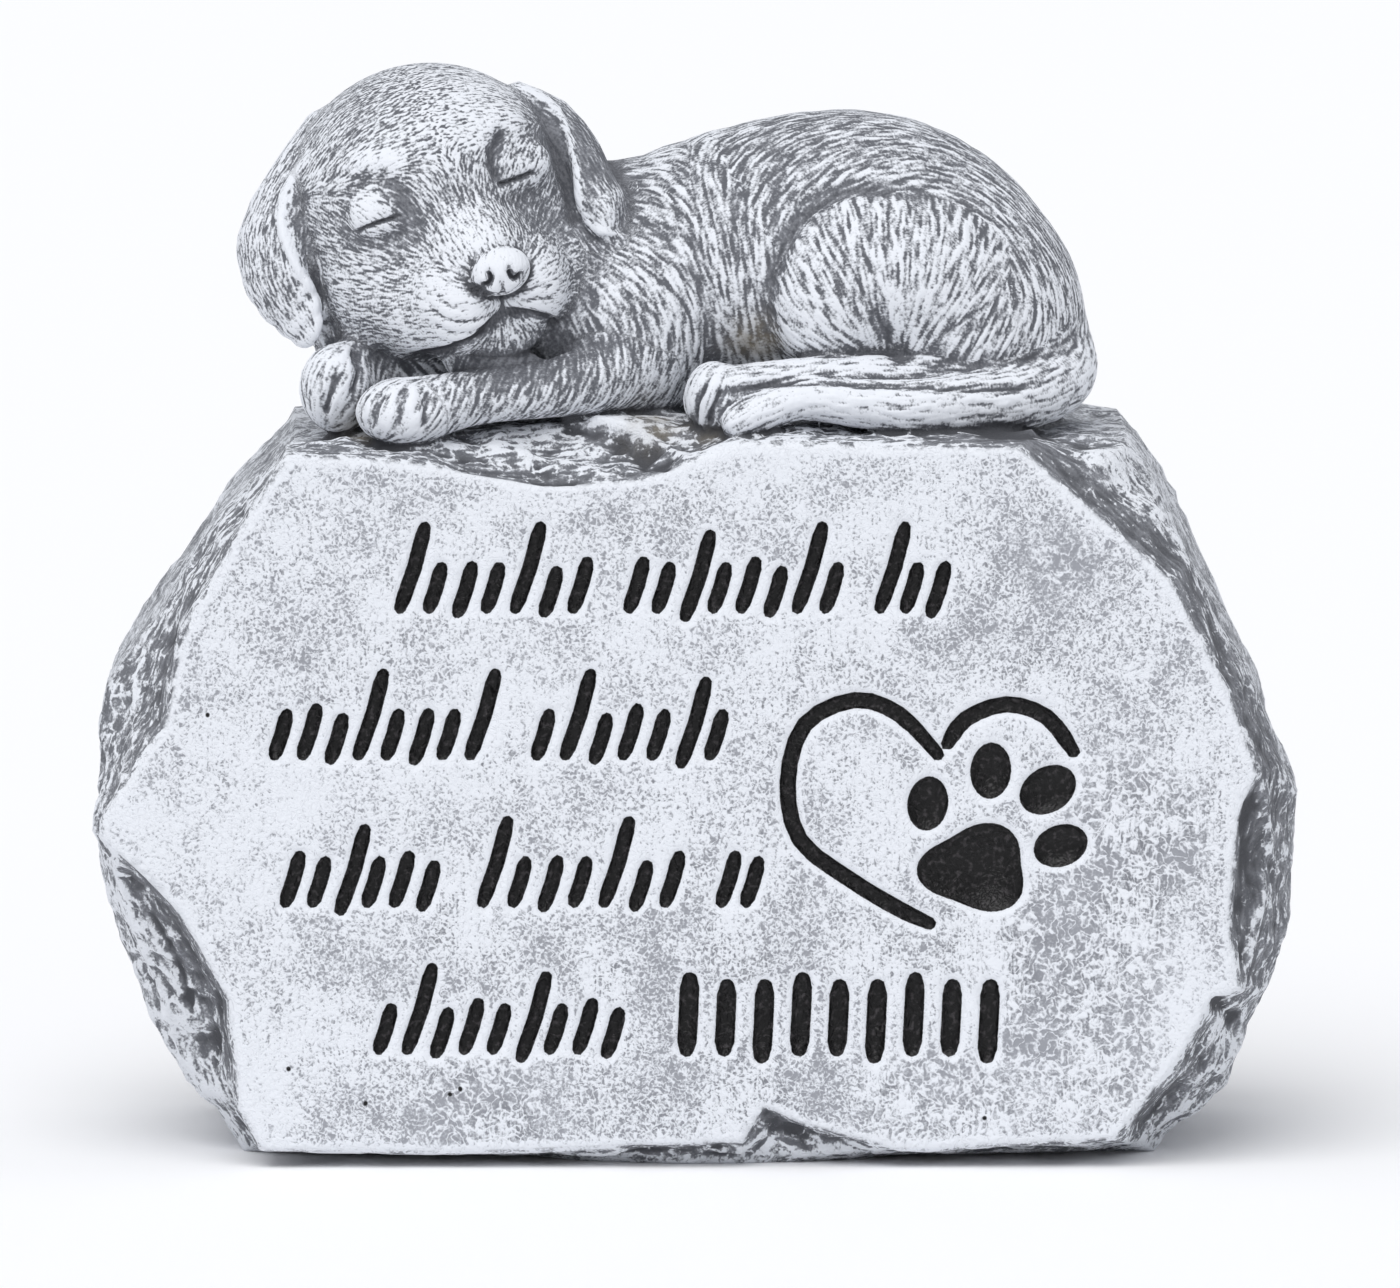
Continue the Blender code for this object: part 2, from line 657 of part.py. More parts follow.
def near_line(across, up, line, width):
    """1 on a line through some points in the front view, fading to 0 beside it and at its ends."""
    nearest = np.full(len(across), 1e9)
    along = np.zeros(len(across))
    for number, ((x0, z0), (x1, z1)) in enumerate(zip(line, line[1:])):
        dx = x1 - x0
        dz = z1 - z0
        share = np.clip(((across - x0) * dx + (up - z0) * dz) / (dx * dx + dz * dz), 0, 1)
        distance = np.hypot(across - x0 - share * dx, up - z0 - share * dz)
        along = np.where(distance < nearest, (number + share) / (len(line) - 1), along)
        nearest = np.minimum(nearest, distance)
    ends = np.clip(0.25 + 5 * np.minimum(along, 1 - along), 0, 1)
    return np.exp(-(nearest / width) ** 2) * ends


def carved(points, normals):
    """The puppy's points after its front is carved, and how much detail is at each."""
    facing = np.clip(-normals[:, 1] * 2.5 + 0.4, 0, 1) * (points[:, 1] < 4)
    seen_up = points[:, 2] + VIEW_RISE * points[:, 1]
    move = np.zeros(len(points))
    detail = np.zeros(len(points))
    for _, line, width, depth in CARVED_LINES:
        curve = smooth_curve(line, 4)
        move -= depth * near_line(points[:, 0], seen_up, curve, width) * facing
        detail = np.maximum(detail, near_line(points[:, 0], seen_up, curve, DETAIL_REACH * width) * facing)
    return points + normals * move[:, None], detail


def puppy():
    parts = body_parts() + head_parts() + ear_parts()
    item = rough_puppy(parts)
    points, normals = settle_on_masses(item, parts)
    points, detail = carved(points, normals)
    set_mesh_points(item.data, points)
    plain = item.vertex_groups.new(name="plain_skin")
    for index, amount in enumerate(detail):
        plain.add([index], 1 - amount, "REPLACE")
    decimate = item.modifiers.new("fewer_faces", "DECIMATE")
    decimate.ratio = PUPPY_TRIANGLES / (2 * len(item.data.polygons))
    decimate.vertex_group = plain.name
    decimate.vertex_group_factor = DETAIL_KEPT
    apply_modifiers(item)
    size = PUPPY_LENGTH / DRAWN_PUPPY
    place = np.array((0, PUPPY_SET_BACK - STONE_DEPTH / 2, STONE_HEIGHT - PUPPY_SINK))
    set_mesh_points(item.data, mesh_points(item.data) * size + place)
    return item


def main():
    clear_scene()
    stone = slab()
    heart_lines = [heart_outline(line) for line in HEART_LINES]
    for outlines in (stroke_outlines(), heart_lines[:1], heart_lines[1:], paw_outlines()):
        boolean(stone, engraving_cutter(outlines), "DIFFERENCE")
    boolean(stone, puppy(), "UNION")
    for face in stone.data.polygons:
        face.use_smooth = True
    stone.data.set_sharp_from_angle(angle=math.radians(35))
    stone.data.materials.clear()
    stone.data.materials.append(stone_material())


main()
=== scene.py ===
# Pet memorial statue: an upright cast-stone slab with a sleeping puppy on its ledge.
# One casting, so one piece: it starts as a copy of the CAD solid, gets a finer skin,
# fur, carving and rough chips, and is finished in grey stone paint under a dry brush of white;
# some shade and a sheen are painted into its colour.
import math
from functools import partial

import bmesh
import bpy
import numpy as np
from mathutils import Euler, Matrix, Vector


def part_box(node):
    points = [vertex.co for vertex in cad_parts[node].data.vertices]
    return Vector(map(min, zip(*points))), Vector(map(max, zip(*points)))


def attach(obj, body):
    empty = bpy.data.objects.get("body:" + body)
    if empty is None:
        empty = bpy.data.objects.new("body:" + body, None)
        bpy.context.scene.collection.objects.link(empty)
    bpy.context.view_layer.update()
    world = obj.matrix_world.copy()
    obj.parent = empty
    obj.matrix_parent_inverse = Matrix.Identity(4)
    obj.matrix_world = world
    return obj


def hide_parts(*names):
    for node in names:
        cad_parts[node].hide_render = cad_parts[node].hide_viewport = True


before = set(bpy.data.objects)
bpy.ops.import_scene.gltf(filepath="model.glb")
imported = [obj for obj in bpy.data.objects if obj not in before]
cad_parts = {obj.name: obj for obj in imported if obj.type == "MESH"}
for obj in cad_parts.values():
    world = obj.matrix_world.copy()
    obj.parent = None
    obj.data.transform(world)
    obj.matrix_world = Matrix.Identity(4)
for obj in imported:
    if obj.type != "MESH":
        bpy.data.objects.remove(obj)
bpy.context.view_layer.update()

mm = 0.001
nodeName = "memorial_stone"
lowest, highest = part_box(nodeName)
faceY = lowest[1]  # the engraved face
viewElevation = 7  # degrees, how far above level the front is seen from
riseOfView = math.tan(math.radians(viewElevation))
print("frame loaded, face at", round(faceY, 4))

# small helpers

def linear(hexColour):
    # sRGB hex to the linear values that a shader takes
    channels = [int(hexColour[k:k + 2], 16) / 255 for k in (1, 3, 5)]
    return tuple(c / 12.92 if c <= 0.04045 else ((c + 0.055) / 1.055) ** 2.4 for c in channels) + (1.0,)


soft = {"clamp": True, "interpolation_type": "SMOOTHSTEP"}
straight = {"clamp": True}
inColour = {"data_type": "RGBA"}


def addNode(tree, kind, settings={}, inputs=(), output=0):
    # adds a node with its settings and links, and gives one of its outputs; a setting that
    # is a word is the operation, and the inputs come in their order or by their names
    node = tree.nodes.new(kind if "Node" in kind else "ShaderNode" + kind)
    for name, value in ({"operation": settings} if isinstance(settings, str) else settings).items():
        setattr(node, name, value)
    for socket, value in inputs.items() if isinstance(inputs, dict) else enumerate(inputs):
        if isinstance(value, bpy.types.NodeSocket):
            tree.links.new(value, node.inputs[socket])
        else:
            node.inputs[socket].default_value = value
    return node.outputs[output] if len(node.outputs) else None


def added(tree, start, layers, swings=[]):
    # patterns times their weights, added up; those that swing are counted from a half
    start -= 0.5 * sum(weight for _, weight in swings)
    for pattern, weight in layers + swings:
        start = addNode(tree, "Math", "MULTIPLY_ADD", [pattern, weight, start])
    return start


def newItem(name, data):
    item = bpy.data.objects.new(name, data)
    bpy.context.scene.collection.objects.link(item)
    return item


def facing(direction):
    # turns a lamp or camera to look along a direction
    return direction.to_track_quat("-Z", "Y").to_euler()


def applyModifiers(item):
    graph = bpy.context.evaluated_depsgraph_get()
    mesh = bpy.data.meshes.new_from_object(item.evaluated_get(graph))
    item.modifiers.clear()
    item.data = mesh


def skinOf(mesh):
    # the points in mm, their normals, and the edges
    arrays = []
    for source, what, width, kind in ((mesh.vertices, "co", 3, float), (mesh.vertices, "normal", 3, float),
                                      (mesh.edges, "vertices", 2, np.int32)):
        values = np.empty(len(source) * width, dtype=kind)
        source.foreach_get(what, values)
        arrays.append(values.reshape(-1, width))
    return arrays[0] / mm, arrays[1], arrays[2]


def setPoints(mesh, points):
    mesh.vertices.foreach_set("co", np.ascontiguousarray(points).ravel())
    mesh.update()


def storeAttribute(mesh, name, values):
    kind, part = ("FLOAT_VECTOR", "vector") if values.ndim == 2 else ("FLOAT", "value")
    attribute = mesh.attributes.new(name, kind, "POINT")
    attribute.data.foreach_set(part, values.astype(np.float32).ravel())


def smoothStep(low, high, values):
    share = np.clip((values - low) / (high - low), 0, 1)
    return share * share * (3 - 2 * share)


def nearPlace(points, place, reach):
    # 1 at the place, fading out over its reach
    return np.exp(-((points - np.array(place)) ** 2).sum(axis=1) / reach ** 2)


def alongSegment(across, up, start, end):
    # how far along a straight piece each point's nearest place is, and the distance to it
    dx = end[0] - start[0]
    dz = end[1] - start[1]
    share = np.clip(((across - start[0]) * dx + (up - start[1]) * dz) / (dx * dx + dz * dz), 0, 1)
    return share, np.hypot(across - start[0] - share * dx, up - start[1] - share * dz)


def relaxed(points, edges, amount=0.5):
    # each point moves towards the middle of its neighbours
    count = np.bincount(edges.ravel(), minlength=len(points))
    result = np.empty_like(points)
    for axis in range(points.shape[1]):
        total = np.bincount(edges[:, 0], points[edges[:, 1], axis], len(points))
        total += np.bincount(edges[:, 1], points[edges[:, 0], axis], len(points))
        result[:, axis] = points[:, axis] + amount * (total / np.maximum(count, 1) - points[:, axis])
    return result


def smoothCurve(points, steps):
    ends = [points[0]] + list(points) + [points[-1]]
    result = []
    for a, b, c, d in zip(ends, ends[1:], ends[2:], ends[3:]):
        for step in range(steps):
            t = step / steps
            result.append(tuple(0.5 * (2 * q + (r - p) * t + (2 * p - 5 * q + 4 * r - s) * t ** 2
                                       + (3 * q - p - 3 * r + s) * t ** 3)
                                for p, q, r, s in zip(a, b, c, d)))
    result.append(tuple(points[-1]))
    return result

# camera, lights and floor

cameraSetup = {
    "distance": 4.0,
    "elevation": viewElevation,
    "target": (0.0002, faceY, 0.097),
    "widthAtTarget": 0.2562,  # metres across the frame at the engraved face
}


def addCamera():
    camera = bpy.data.cameras.new("photoCamera")
    camera.sensor_fit = "HORIZONTAL"
    camera.lens = camera.sensor_width * cameraSetup["distance"] / cameraSetup["widthAtTarget"]
    camera.clip_end = 30
    item = newItem("photoCamera", camera)
    tilt = math.radians(cameraSetup["elevation"])
    back = Vector((0, -math.cos(tilt), math.sin(tilt))) * cameraSetup["distance"]
    item.location = Vector(cameraSetup["target"]) + back
    item.rotation_euler = facing(-back)
    bpy.context.scene.camera = item


lightSetup = {
    "sky": 0.6,
    "overhead": (-0.25, -0.75, 1.35),  # the large soft lamp shines from this side
    "overheadStrength": 1.75,
    "overheadAngle": 50,
    "floorReach": 8,  # metres to each side
}


def addLights():
    world = bpy.data.worlds.new("studio")
    world.use_nodes = True
    sky = world.node_tree.nodes["Background"]
    sky.inputs["Color"].default_value = linear("#f6f8fc")
    sky.inputs["Strength"].default_value = lightSetup["sky"]
    bpy.context.scene.world = world
    lamp = bpy.data.lights.new("overheadSoftbox", "SUN")
    lamp.energy = lightSetup["overheadStrength"]
    lamp.angle = math.radians(lightSetup["overheadAngle"])
    newItem("overheadSoftbox", lamp).rotation_euler = facing(-Vector(lightSetup["overhead"]))
    bpy.context.scene.view_settings.view_transform = "Standard"


def addFloor():
    bm = bmesh.new()
    bmesh.ops.create_grid(bm, x_segments=1, y_segments=1, size=lightSetup["floorReach"])
    mesh = bpy.data.meshes.new("floor")
    bm.to_mesh(mesh)
    bm.free()
    floor = newItem("floor", mesh)
    # matt white paper, which gives no gloss
    material = bpy.data.materials.new("whitePaper")
    material.use_nodes = True
    shader = material.node_tree.nodes["Principled BSDF"]
    shader.inputs["Base Color"].default_value = linear("#fbfbfc")
    shader.inputs["Roughness"].default_value = 0.9
    mesh.materials.append(material)

# the puppy's masses, in mm from the stone's middle, its own middle line and its underside

puppySetup = {
    "origin": (0, 0, 132),  # in mm, where the masses' zero lies in the frame
    "headCentre": (-50, -2, 44),
    "headYaw": 16.5,
    "headRoll": 16,
    "nose": (-36, -34, 28),
    "fanCentre": (36, -24, 9),
    "furDepth": 0.34,
    "furCell": 0.82,  # mm, about half of one tuft and its gap
    "furStep": 0.6,  # mm between the places averaged along a tuft
    "headFineness": 1.7,  # how much finer the coat of the head is
    "legFineness": 1.25,
    "earFineness": 1.5,
    "legSlant": 1.8,  # how far the coat of the foreleg turns across it
}


def headTurn():
    yaw = Matrix.Rotation(math.radians(puppySetup["headYaw"]), 3, "Z")
    roll = Matrix.Rotation(-math.radians(puppySetup["headRoll"]), 3, "Y")
    return np.array(yaw @ roll)


def ball(centre, radii, blend, coat, degrees=(0, 0, 0)):
    turn = np.array(Euler([math.radians(a) for a in degrees]).to_matrix())
    centre = np.array(centre, float)
    if coat == "head":
        turn = headTurn() @ turn
        centre = np.array(puppySetup["headCentre"]) + headTurn() @ centre
    return {"kind": "ball", "centre": centre, "radii": np.array(radii, float), "turn": turn,
            "blend": blend, "coat": coat, "middle": centre, "reach": max(radii)}


def chain(kind, stations, blend, coat, steps, **more):
    stations = np.array(smoothCurve(stations, steps), float)
    middle = stations[:, :3].mean(axis=0)
    reach = (np.linalg.norm(stations[:, :3] - middle, axis=1) + stations[:, 3]).max()
    return {"kind": kind, "stations": stations, "blend": blend, "coat": coat,
            "middle": middle, "reach": reach, **more}


def limb(stations, blend, coat="along"):
    return chain("limb", stations, blend, coat, 3)


def flap(stations, facing, thinness, blend):
    return chain("flap", stations, blend, "ear", 2, thinness=thinness,
                 facing=np.array(Vector(facing).normalized()))


def bothSides(x, y, z, radii, blend):
    return [ball((x, y, z), radii, blend, "head"), ball((-x, y, z), radii, blend, "head")]


def bodyParts():
    return [
        limb([(-32, 6, 26, 18), (-12, 7, 26.5, 21.6), (9, 7, 29.2, 26.1), (27, 7, 29.8, 28.6),
              (37.5, 6.5, 27.6, 27.2), (44, 6, 22.8, 25.3)], 8, "body"),
        ball((45, 6, 14), (25.6, 24, 25), 8, "body"),
        ball((46, -5, 20), (19, 17.5, 21), 8, "body"),
        ball((-17, 0, 20), (19, 21, 20), 8, "body"),
        ball((-13, -11, 18), (13, 11, 16), 6, "body"),
        ball((35, -13, 29.5), (22.3, 13.5, 16.2), 2.5, "haunch", (0, 8, 0)),
        ball((24, -18, 25.5), (11.5, 8.8, 12.8), 3, "haunch"),
        limb([(58, -18, 9.5, 4.5), (30, -23, 11.5, 4.8), (8, -27, 10, 4.8)], 1.5),
        ball((2.8, -25.5, 8.2), (5.6, 6.6, 7), 2, "paw"),
        limb([(59, 11, 18, 10.5), (65.5, 1, 13.5, 7.8), (65.2, -9, 10, 6.9), (57, -20, 7.6, 6.2),
              (46, -26, 7, 5.6), (37, -29, 7.2, 4.9), (27, -30, 8.2, 4.3), (18.5, -31, 8.8, 3.7),
              (11, -32, 6.2, 3.5), (7.4, -32.5, 4.6, 3.3)], 2),
        limb([(-12, -14, 14, 9), (-20, -22, 11.5, 6.4), (-29, -26, 10, 5.2), (-40, -28, 9, 5),
              (-48, -29, 7.6, 5.6)], 2.5, "foreleg"),
        ball((-37, -23.5, 14), (9, 4.5, 3.5), 1, "paw"),
        ball((-54, -30, 6.4), (8.9, 8, 6.3), 2, "paw"),
        ball((-66.5, -19, 9.5), (6.9, 7.5, 8.2), 2.5, "paw"),
        ball((-62, -10, 9), (9, 10, 9), 3, "paw"),
        ball((-48, -4, 11), (19, 13, 13), 3, "body"),
        limb([(-48, 6, 34, 20), (-24, 7, 28, 20)], 7, "body"),
    ]


def headParts():
    return (
        [ball((-0.5, 0, 0.5), (25.3, 24, 23.4), 3, "head"),
         ball((0, -10, 4), (18, 12.5, 15), 6, "head")]
        + bothSides(12.8, -6.5, -12, (12.5, 14, 12.8), 6)
        + bothSides(9.5, -17, -17, (9.5, 11, 9.6), 5)
        + [ball((0, -23.5, -11), (11, 10.5, 8.5), 6, "head")]
        + bothSides(6.5, -26.5, -16.6, (7.9, 8.2, 9), 3)
        + [ball((0, -24, -5.5), (6.3, 11, 5.3), 5, "head", (18, 0, 0)),
           ball((1, -22.3, -23.6), (8.6, 9, 6.4), 1.2, "head"),
           ball((0.7, -35, -11.9), (5.6, 4.2, 4.5), 0.5, "head")]
        + bothSides(13.7, -17.4, 2.4, (6.0, 4.4, 5.0), 1.4)
        + bothSides(10.2, -15.5, 9.8, (6, 4.4, 3.4), 4)
    )


def earParts():
    return [
        ball((-66.5, -6.5, 27), (7, 7.5, 14), 2, "body"),
        limb([(-71, -13.2, 34.8, 2), (-70.8, -13, 31.8, 2.4), (-70.3, -12.7, 27.8, 2.5),
              (-69.6, -13, 24.2, 2.3)], 1.5),
        ball((-27.5, -14, 17.5), (5, 5.6, 5.5), 3, "body"),
        flap([(-69.5, -4, 53.8, 5.6), (-75, -7, 44.2, 7), (-78.5, -10, 34.5, 8.6), (-76.6, -12.5, 27, 6.9),
              (-72.5, -15, 20.5, 4.0)], (-0.70, -0.71, 0.1), 0.46, 1.5),
        flap([(-33, 1, 58.6, 5.6), (-26, 1, 54.2, 6.9), (-21.2, -2, 48.2, 7.3), (-18.9, -6.5, 43.6, 7.1),
              (-16, -10, 40.2, 6.3)], (0.93, -0.35, 0.1), 0.46, 1.2),
    ]


def ballDistance(points, part):
    local = (points - part["centre"]) @ part["turn"] / part["radii"]
    near = np.linalg.norm(local, axis=1)
    steep = np.linalg.norm(local / part["radii"], axis=1)
    return near * (near - 1) / np.maximum(steep, 1e-6)


def chainDistance(points, stations):
    # distance to a chain of round cones, and the direction of the nearest one
    result = np.full(len(points), 1e9)
    heading = np.zeros_like(points)
    for start, end in zip(stations, stations[1:]):
        along = end[:3] - start[:3]
        share = np.clip((points - start[:3]) @ along / (along @ along), 0, 1)
        radius = start[3] + share * (end[3] - start[3])
        distance = np.linalg.norm(points - start[:3] - share[:, None] * along, axis=1) - radius
        nearer = distance < result
        result[nearer] = distance[nearer]
        heading[nearer] = along / np.linalg.norm(along)
    return result, heading


def partDistance(points, part):
    if part["kind"] == "ball":
        return ballDistance(points, part)
    if part["kind"] == "limb":
        return chainDistance(points, part["stations"])[0]
    facing = part["facing"]
    stretch = 1 / part["thinness"] - 1
    stations = part["stations"].copy()
    stations[:, :3] += np.outer(stations[:, :3] @ facing, facing) * stretch
    stretched = points + np.outer(points @ facing, facing) * stretch
    return chainDistance(stretched, stations)[0] * part["thinness"]


def puppyDistance(points, parts, owner=None):
    # distance to the skin that the masses form as they run into each other
    result = np.full(len(points), 40.0)
    closest = np.full(len(points), 40.0)
    for number, part in enumerate(parts):
        near = ((points - part["middle"]) ** 2).sum(axis=1) < (part["reach"] + 10) ** 2
        distance = partDistance(points[near], part)
        if owner is not None:
            own = np.flatnonzero(near)[distance < closest[near]]
            owner[own] = number
            closest[near] = np.minimum(closest[near], distance)
        before = result[near]
        overlap = np.maximum(part["blend"] - np.abs(before - distance), 0) / part["blend"]
        result[near] = np.minimum(before, distance) - overlap ** 2 * part["blend"] / 4
    return result


def slope(points, parts):
    here = puppyDistance(points, parts)
    gradient = np.zeros_like(points)
    probe = 0.05  # mm
    for axis in range(3):
        moved = points.copy()
        moved[:, axis] += probe
        gradient[:, axis] = (puppyDistance(moved, parts) - here) / probe
    return here, gradient

# carving on the puppy's front: points as seen in the front view, width, depth, and how much
# grey stays in it; a negative depth raises a ridge

carvedLines = {
    "left eyelid": ([(-62.8, 36), (-59, 37.5), (-54.6, 39)], 0.4, 0.9, 1.0),
    "left lower lid": ([(-61.5, 33.4), (-57.8, 34), (-53.6, 36)], 1.2, 0.3, 0.12),
    "left eye socket": ([(-64.6, 44.3), (-60.6, 46), (-56.9, 45.2), (-54.2, 42.4), (-52.6, 38)],
     2.2, 0.9, 0.25),
    "right eyelid": ([(-36.6, 44.7), (-33.3, 45.9), (-29.8, 47.3)], 0.42, 1.0, 1.0),
    "right lower lid": ([(-36.6, 42.2), (-33.4, 42.4), (-30.2, 44)], 1.2, 0.3, 0.12),
    "right eye socket": ([(-35.3, 55.8), (-37.3, 51.5), (-37.4, 48.7), (-36.4, 44.8)], 1.5, 1.2, 0.35),
    "left nostril": ([(-38.9, 28.8), (-38.1, 27.2), (-38.8, 25.9), (-40.4, 25.7)], 0.65, 1.6, 1.2),
    "right nostril": ([(-34.5, 29.3), (-34.1, 27.6), (-33.1, 27.1), (-31.8, 28.5)], 0.65, 1.6, 1.2),
    "nose fold": ([(-42.2, 26.2), (-40.6, 24.9), (-37.5, 23.8), (-34.5, 24), (-31.8, 26.2), (-30.4, 29.8)],
     0.6, 0.8, 0.5),
    "nose parting": ([(-35.9, 27.2), (-35.8, 21.1)], 0.45, 0.6, 0.6),
    "left lip": ([(-35.7, 21.4), (-39.5, 16.8), (-43, 14.8), (-47.4, 13.5), (-53.3, 12.8)], 0.8, 1.6, 1.0),
    "right lip": ([(-35.3, 21.1), (-30.5, 20.5), (-26.2, 19.4)], 0.8, 1.4, 0.9),
    "left ear rim": ([(-71.6, 50.6), (-75.6, 44), (-76.5, 37.1), (-74, 30), (-70.5, 23.8),
                      (-69.6, 18.7)], 0.9, -1.0, 0.4),
    "left ear shadow": ([(-72.1, 44.5), (-73.5, 38), (-71.2, 30.3), (-68.1, 21.1)], 1.1, 0.4, 0.25),
    "right ear rim": ([(-33.3, 63.5), (-26.4, 58.9), (-22.7, 49.1), (-21.6, 41), (-19, 36.8),
                       (-14.3, 35.4)], 0.8, -1.0, 0.4),
    "right ear shadow": ([(-27.6, 56.5), (-25, 48.5), (-23.9, 41), (-23, 36.9)], 1.3, 0.5, 0.25),
    "near paw toe 1": ([(-57.7, 6.7), (-59.3, 3), (-60.2, -0.3)], 1.0, 0.8, 0.25),
    "near paw toe 2": ([(-53.1, 7.8), (-54.8, 4.4), (-54.4, 2.2), (-55.2, -1.1)], 1.0, 0.8, 0.25),
    "near paw toe 3": ([(-49.1, 6.7), (-50, 3), (-49.6, -0.7)], 1.0, 0.8, 0.25),
    "far paw toe 1": ([(-66.4, 10), (-67.9, 5.9), (-69, 2.3)], 0.9, 0.9, 0.35),
    "far paw toe 2": ([(-63.5, 14.8), (-62.2, 10.7), (-63.5, 5.9)], 0.9, 0.9, 0.35),
    "hind paw toe 1": ([(1.5, 8.2), (-0.4, 4.5), (-0.9, 0.8)], 0.6, 1.0, 0.6),
    "hind paw toe 2": ([(4.2, 7.1), (2.6, 3.5), (1.6, -0.1)], 0.6, 1.0, 0.6),
    "foot above the tail": ([(4.6, 5.9), (12.1, 7.8), (24, 8.2), (53, 6.9), (63, 7.8)], 0.7, 0.7, 0.45),
    "haunch edge": ([(13.4, 15), (12.6, 21.4), (13.5, 27.9), (17.5, 37), (24.3, 42.8), (32, 44.1),
                     (42.6, 42.1)], 1.5, 0.8, 0.3),
    "haunch fold": ([(37.7, 11.1), (35.3, 16.3), (29.8, 25.1)], 1.8, 0.6, 0.25),
    "muzzle fold 1": ([(-49.6, 22.9), (-47.5, 20.4), (-44.1, 19.2), (-40.1, 19.7), (-37.2, 21.2)],
     0.38, 0.42, 0.5),
    "muzzle fold 2": ([(-49.1, 19.2), (-45.1, 17.1), (-40.6, 17.5), (-37.4, 19.2)], 0.38, 0.4, 0.5),
    "muzzle fold 3": ([(-48.6, 16.5), (-44.6, 15.1), (-40.8, 15.8), (-38, 17.4)], 0.36, 0.35, 0.45),
    "muzzle fold 4": ([(-48.1, 24.5), (-45.6, 22.1), (-42.3, 21.4)], 0.36, 0.35, 0.45),
    "muzzle fold 5": ([(-33.2, 22.6), (-29.6, 23.6), (-26.4, 23.4)], 0.38, 0.4, 0.5),
    "muzzle fold 6": ([(-32.8, 24.6), (-29.6, 25.8), (-27, 25.6)], 0.36, 0.35, 0.45),
}


def nearLine(across, up, line, width):
    # 1 on a line in the front view, fading to 0 beside it and at its ends
    nearest = np.full(len(across), 1e9)
    along = np.zeros(len(across))
    for number, (start, end) in enumerate(zip(line, line[1:])):
        share, distance = alongSegment(across, up, start, end)
        along = np.where(distance < nearest, (number + share) / (len(line) - 1), along)
        nearest = np.minimum(nearest, distance)
    ends = np.clip(0.25 + 5 * np.minimum(along, 1 - along), 0, 1)
    return np.exp(-(nearest / width) ** 2) * ends


def pressLines(across, up, lines, area):
    # how far a set of lines moves the skin, and how much grey stays in them
    move = np.zeros(len(across))
    grey = np.zeros(len(across))
    for line, width, depth, tone in lines.values():
        amount = nearLine(across, up, smoothCurve(line, 4), width) * area
        move -= depth * amount
        grey += tone * amount * np.sign(depth)
    return move, grey


def carve(points, normals):
    facing = np.clip(-normals[:, 1] * 2.5 + 0.4, 0, 1) * (points[:, 1] < 4)
    return pressLines(points[:, 0], points[:, 2] + riseOfView * points[:, 1], carvedLines, facing)

# the way the fur lies on the flank and back: place in the front view, and the stroke's angle

flankStrokes = [
    (-10.8, 41.7, -25), (-10.8, 32.5, -38), (-3.3, 24.2, -60), (-6.2, 15.2, 90), (-0.4, 43.6, -68),
    (7.5, 23.3, -85), (7.5, 36.2, -76), (11.5, 51.1, 75), (16.7, 41.7, 62), (20.5, 51.1, 52),
    (27.0, 46.5, 38), (35.5, 51.1, 27), (47.4, 48.2, 4), (53.3, 42.1, -35), (59.3, 36.2, -60),
    (67.0, 24.2, -75), (60.5, 15.2, 50), (51.4, 17.7, 62), (-22, 20, -55), (-30, 14, -50),
]


def flankWay(points):
    seenUp = points[:, 2] + riseOfView * points[:, 1]
    total = np.zeros(len(points), complex)
    for x, up, degrees in flankStrokes:
        weight = np.exp(-((points[:, 0] - x) ** 2 + (seenUp - up) ** 2) / 60) + 1e-6
        total += weight * np.exp(2j * math.radians(degrees))
    angle = np.angle(total) / 2
    return np.stack([np.cos(angle), np.zeros(len(points)), np.sin(angle)], axis=1)


def headWay(points):
    # from the nose outwards, sideways over the forehead, down at the back; and its strength
    local = (points - np.array(puppySetup["headCentre"])) @ headTurn()
    way = points - np.array(puppySetup["nose"])
    way /= np.linalg.norm(way, axis=1)[:, None]
    side = np.tanh(local[:, 0] / 9)
    upper = smoothStep(2, 13, local[:, 2])
    sideways = np.stack([side, 0.25 * np.abs(side), -0.3 * np.abs(side)], axis=1) @ headTurn().T
    way += (sideways - way) * upper[:, None]
    way += (np.array((0, 0.2, -1)) - way) * smoothStep(3, 12, local[:, 1])[:, None]
    return way, 1 - 0.6 * upper * (1 - np.abs(side))


def furWay(points, normals, parts, owner):
    # which way the hair lies at each point, along the skin
    way = points - np.array(puppySetup["nose"])
    strength = np.ones(len(points))
    for number, part in enumerate(parts):
        own = owner == number
        if not own.any():
            continue
        here = points[own]
        if part["coat"] == "head":
            way[own], strength[own] = headWay(here)
        elif part["coat"] == "body":
            way[own] = flankWay(here)
        elif part["coat"] == "haunch":
            way[own] = here - np.array(puppySetup["fanCentre"])
        elif part["coat"] in ("along", "foreleg", "ear"):
            way[own] = chainDistance(here, part["stations"])[1]
            if part["coat"] == "foreleg":
                way[own] += puppySetup["legSlant"] * np.cross(normals[own], way[own])
        elif part["coat"] == "paw":
            way[own] = (-0.5, -0.3, -1)
    way -= (way * normals).sum(axis=1)[:, None] * normals
    return way * (strength / np.maximum(np.linalg.norm(way, axis=1), 1e-3))[:, None]

# the engraving: rows of slanted strokes, a heart and a paw print

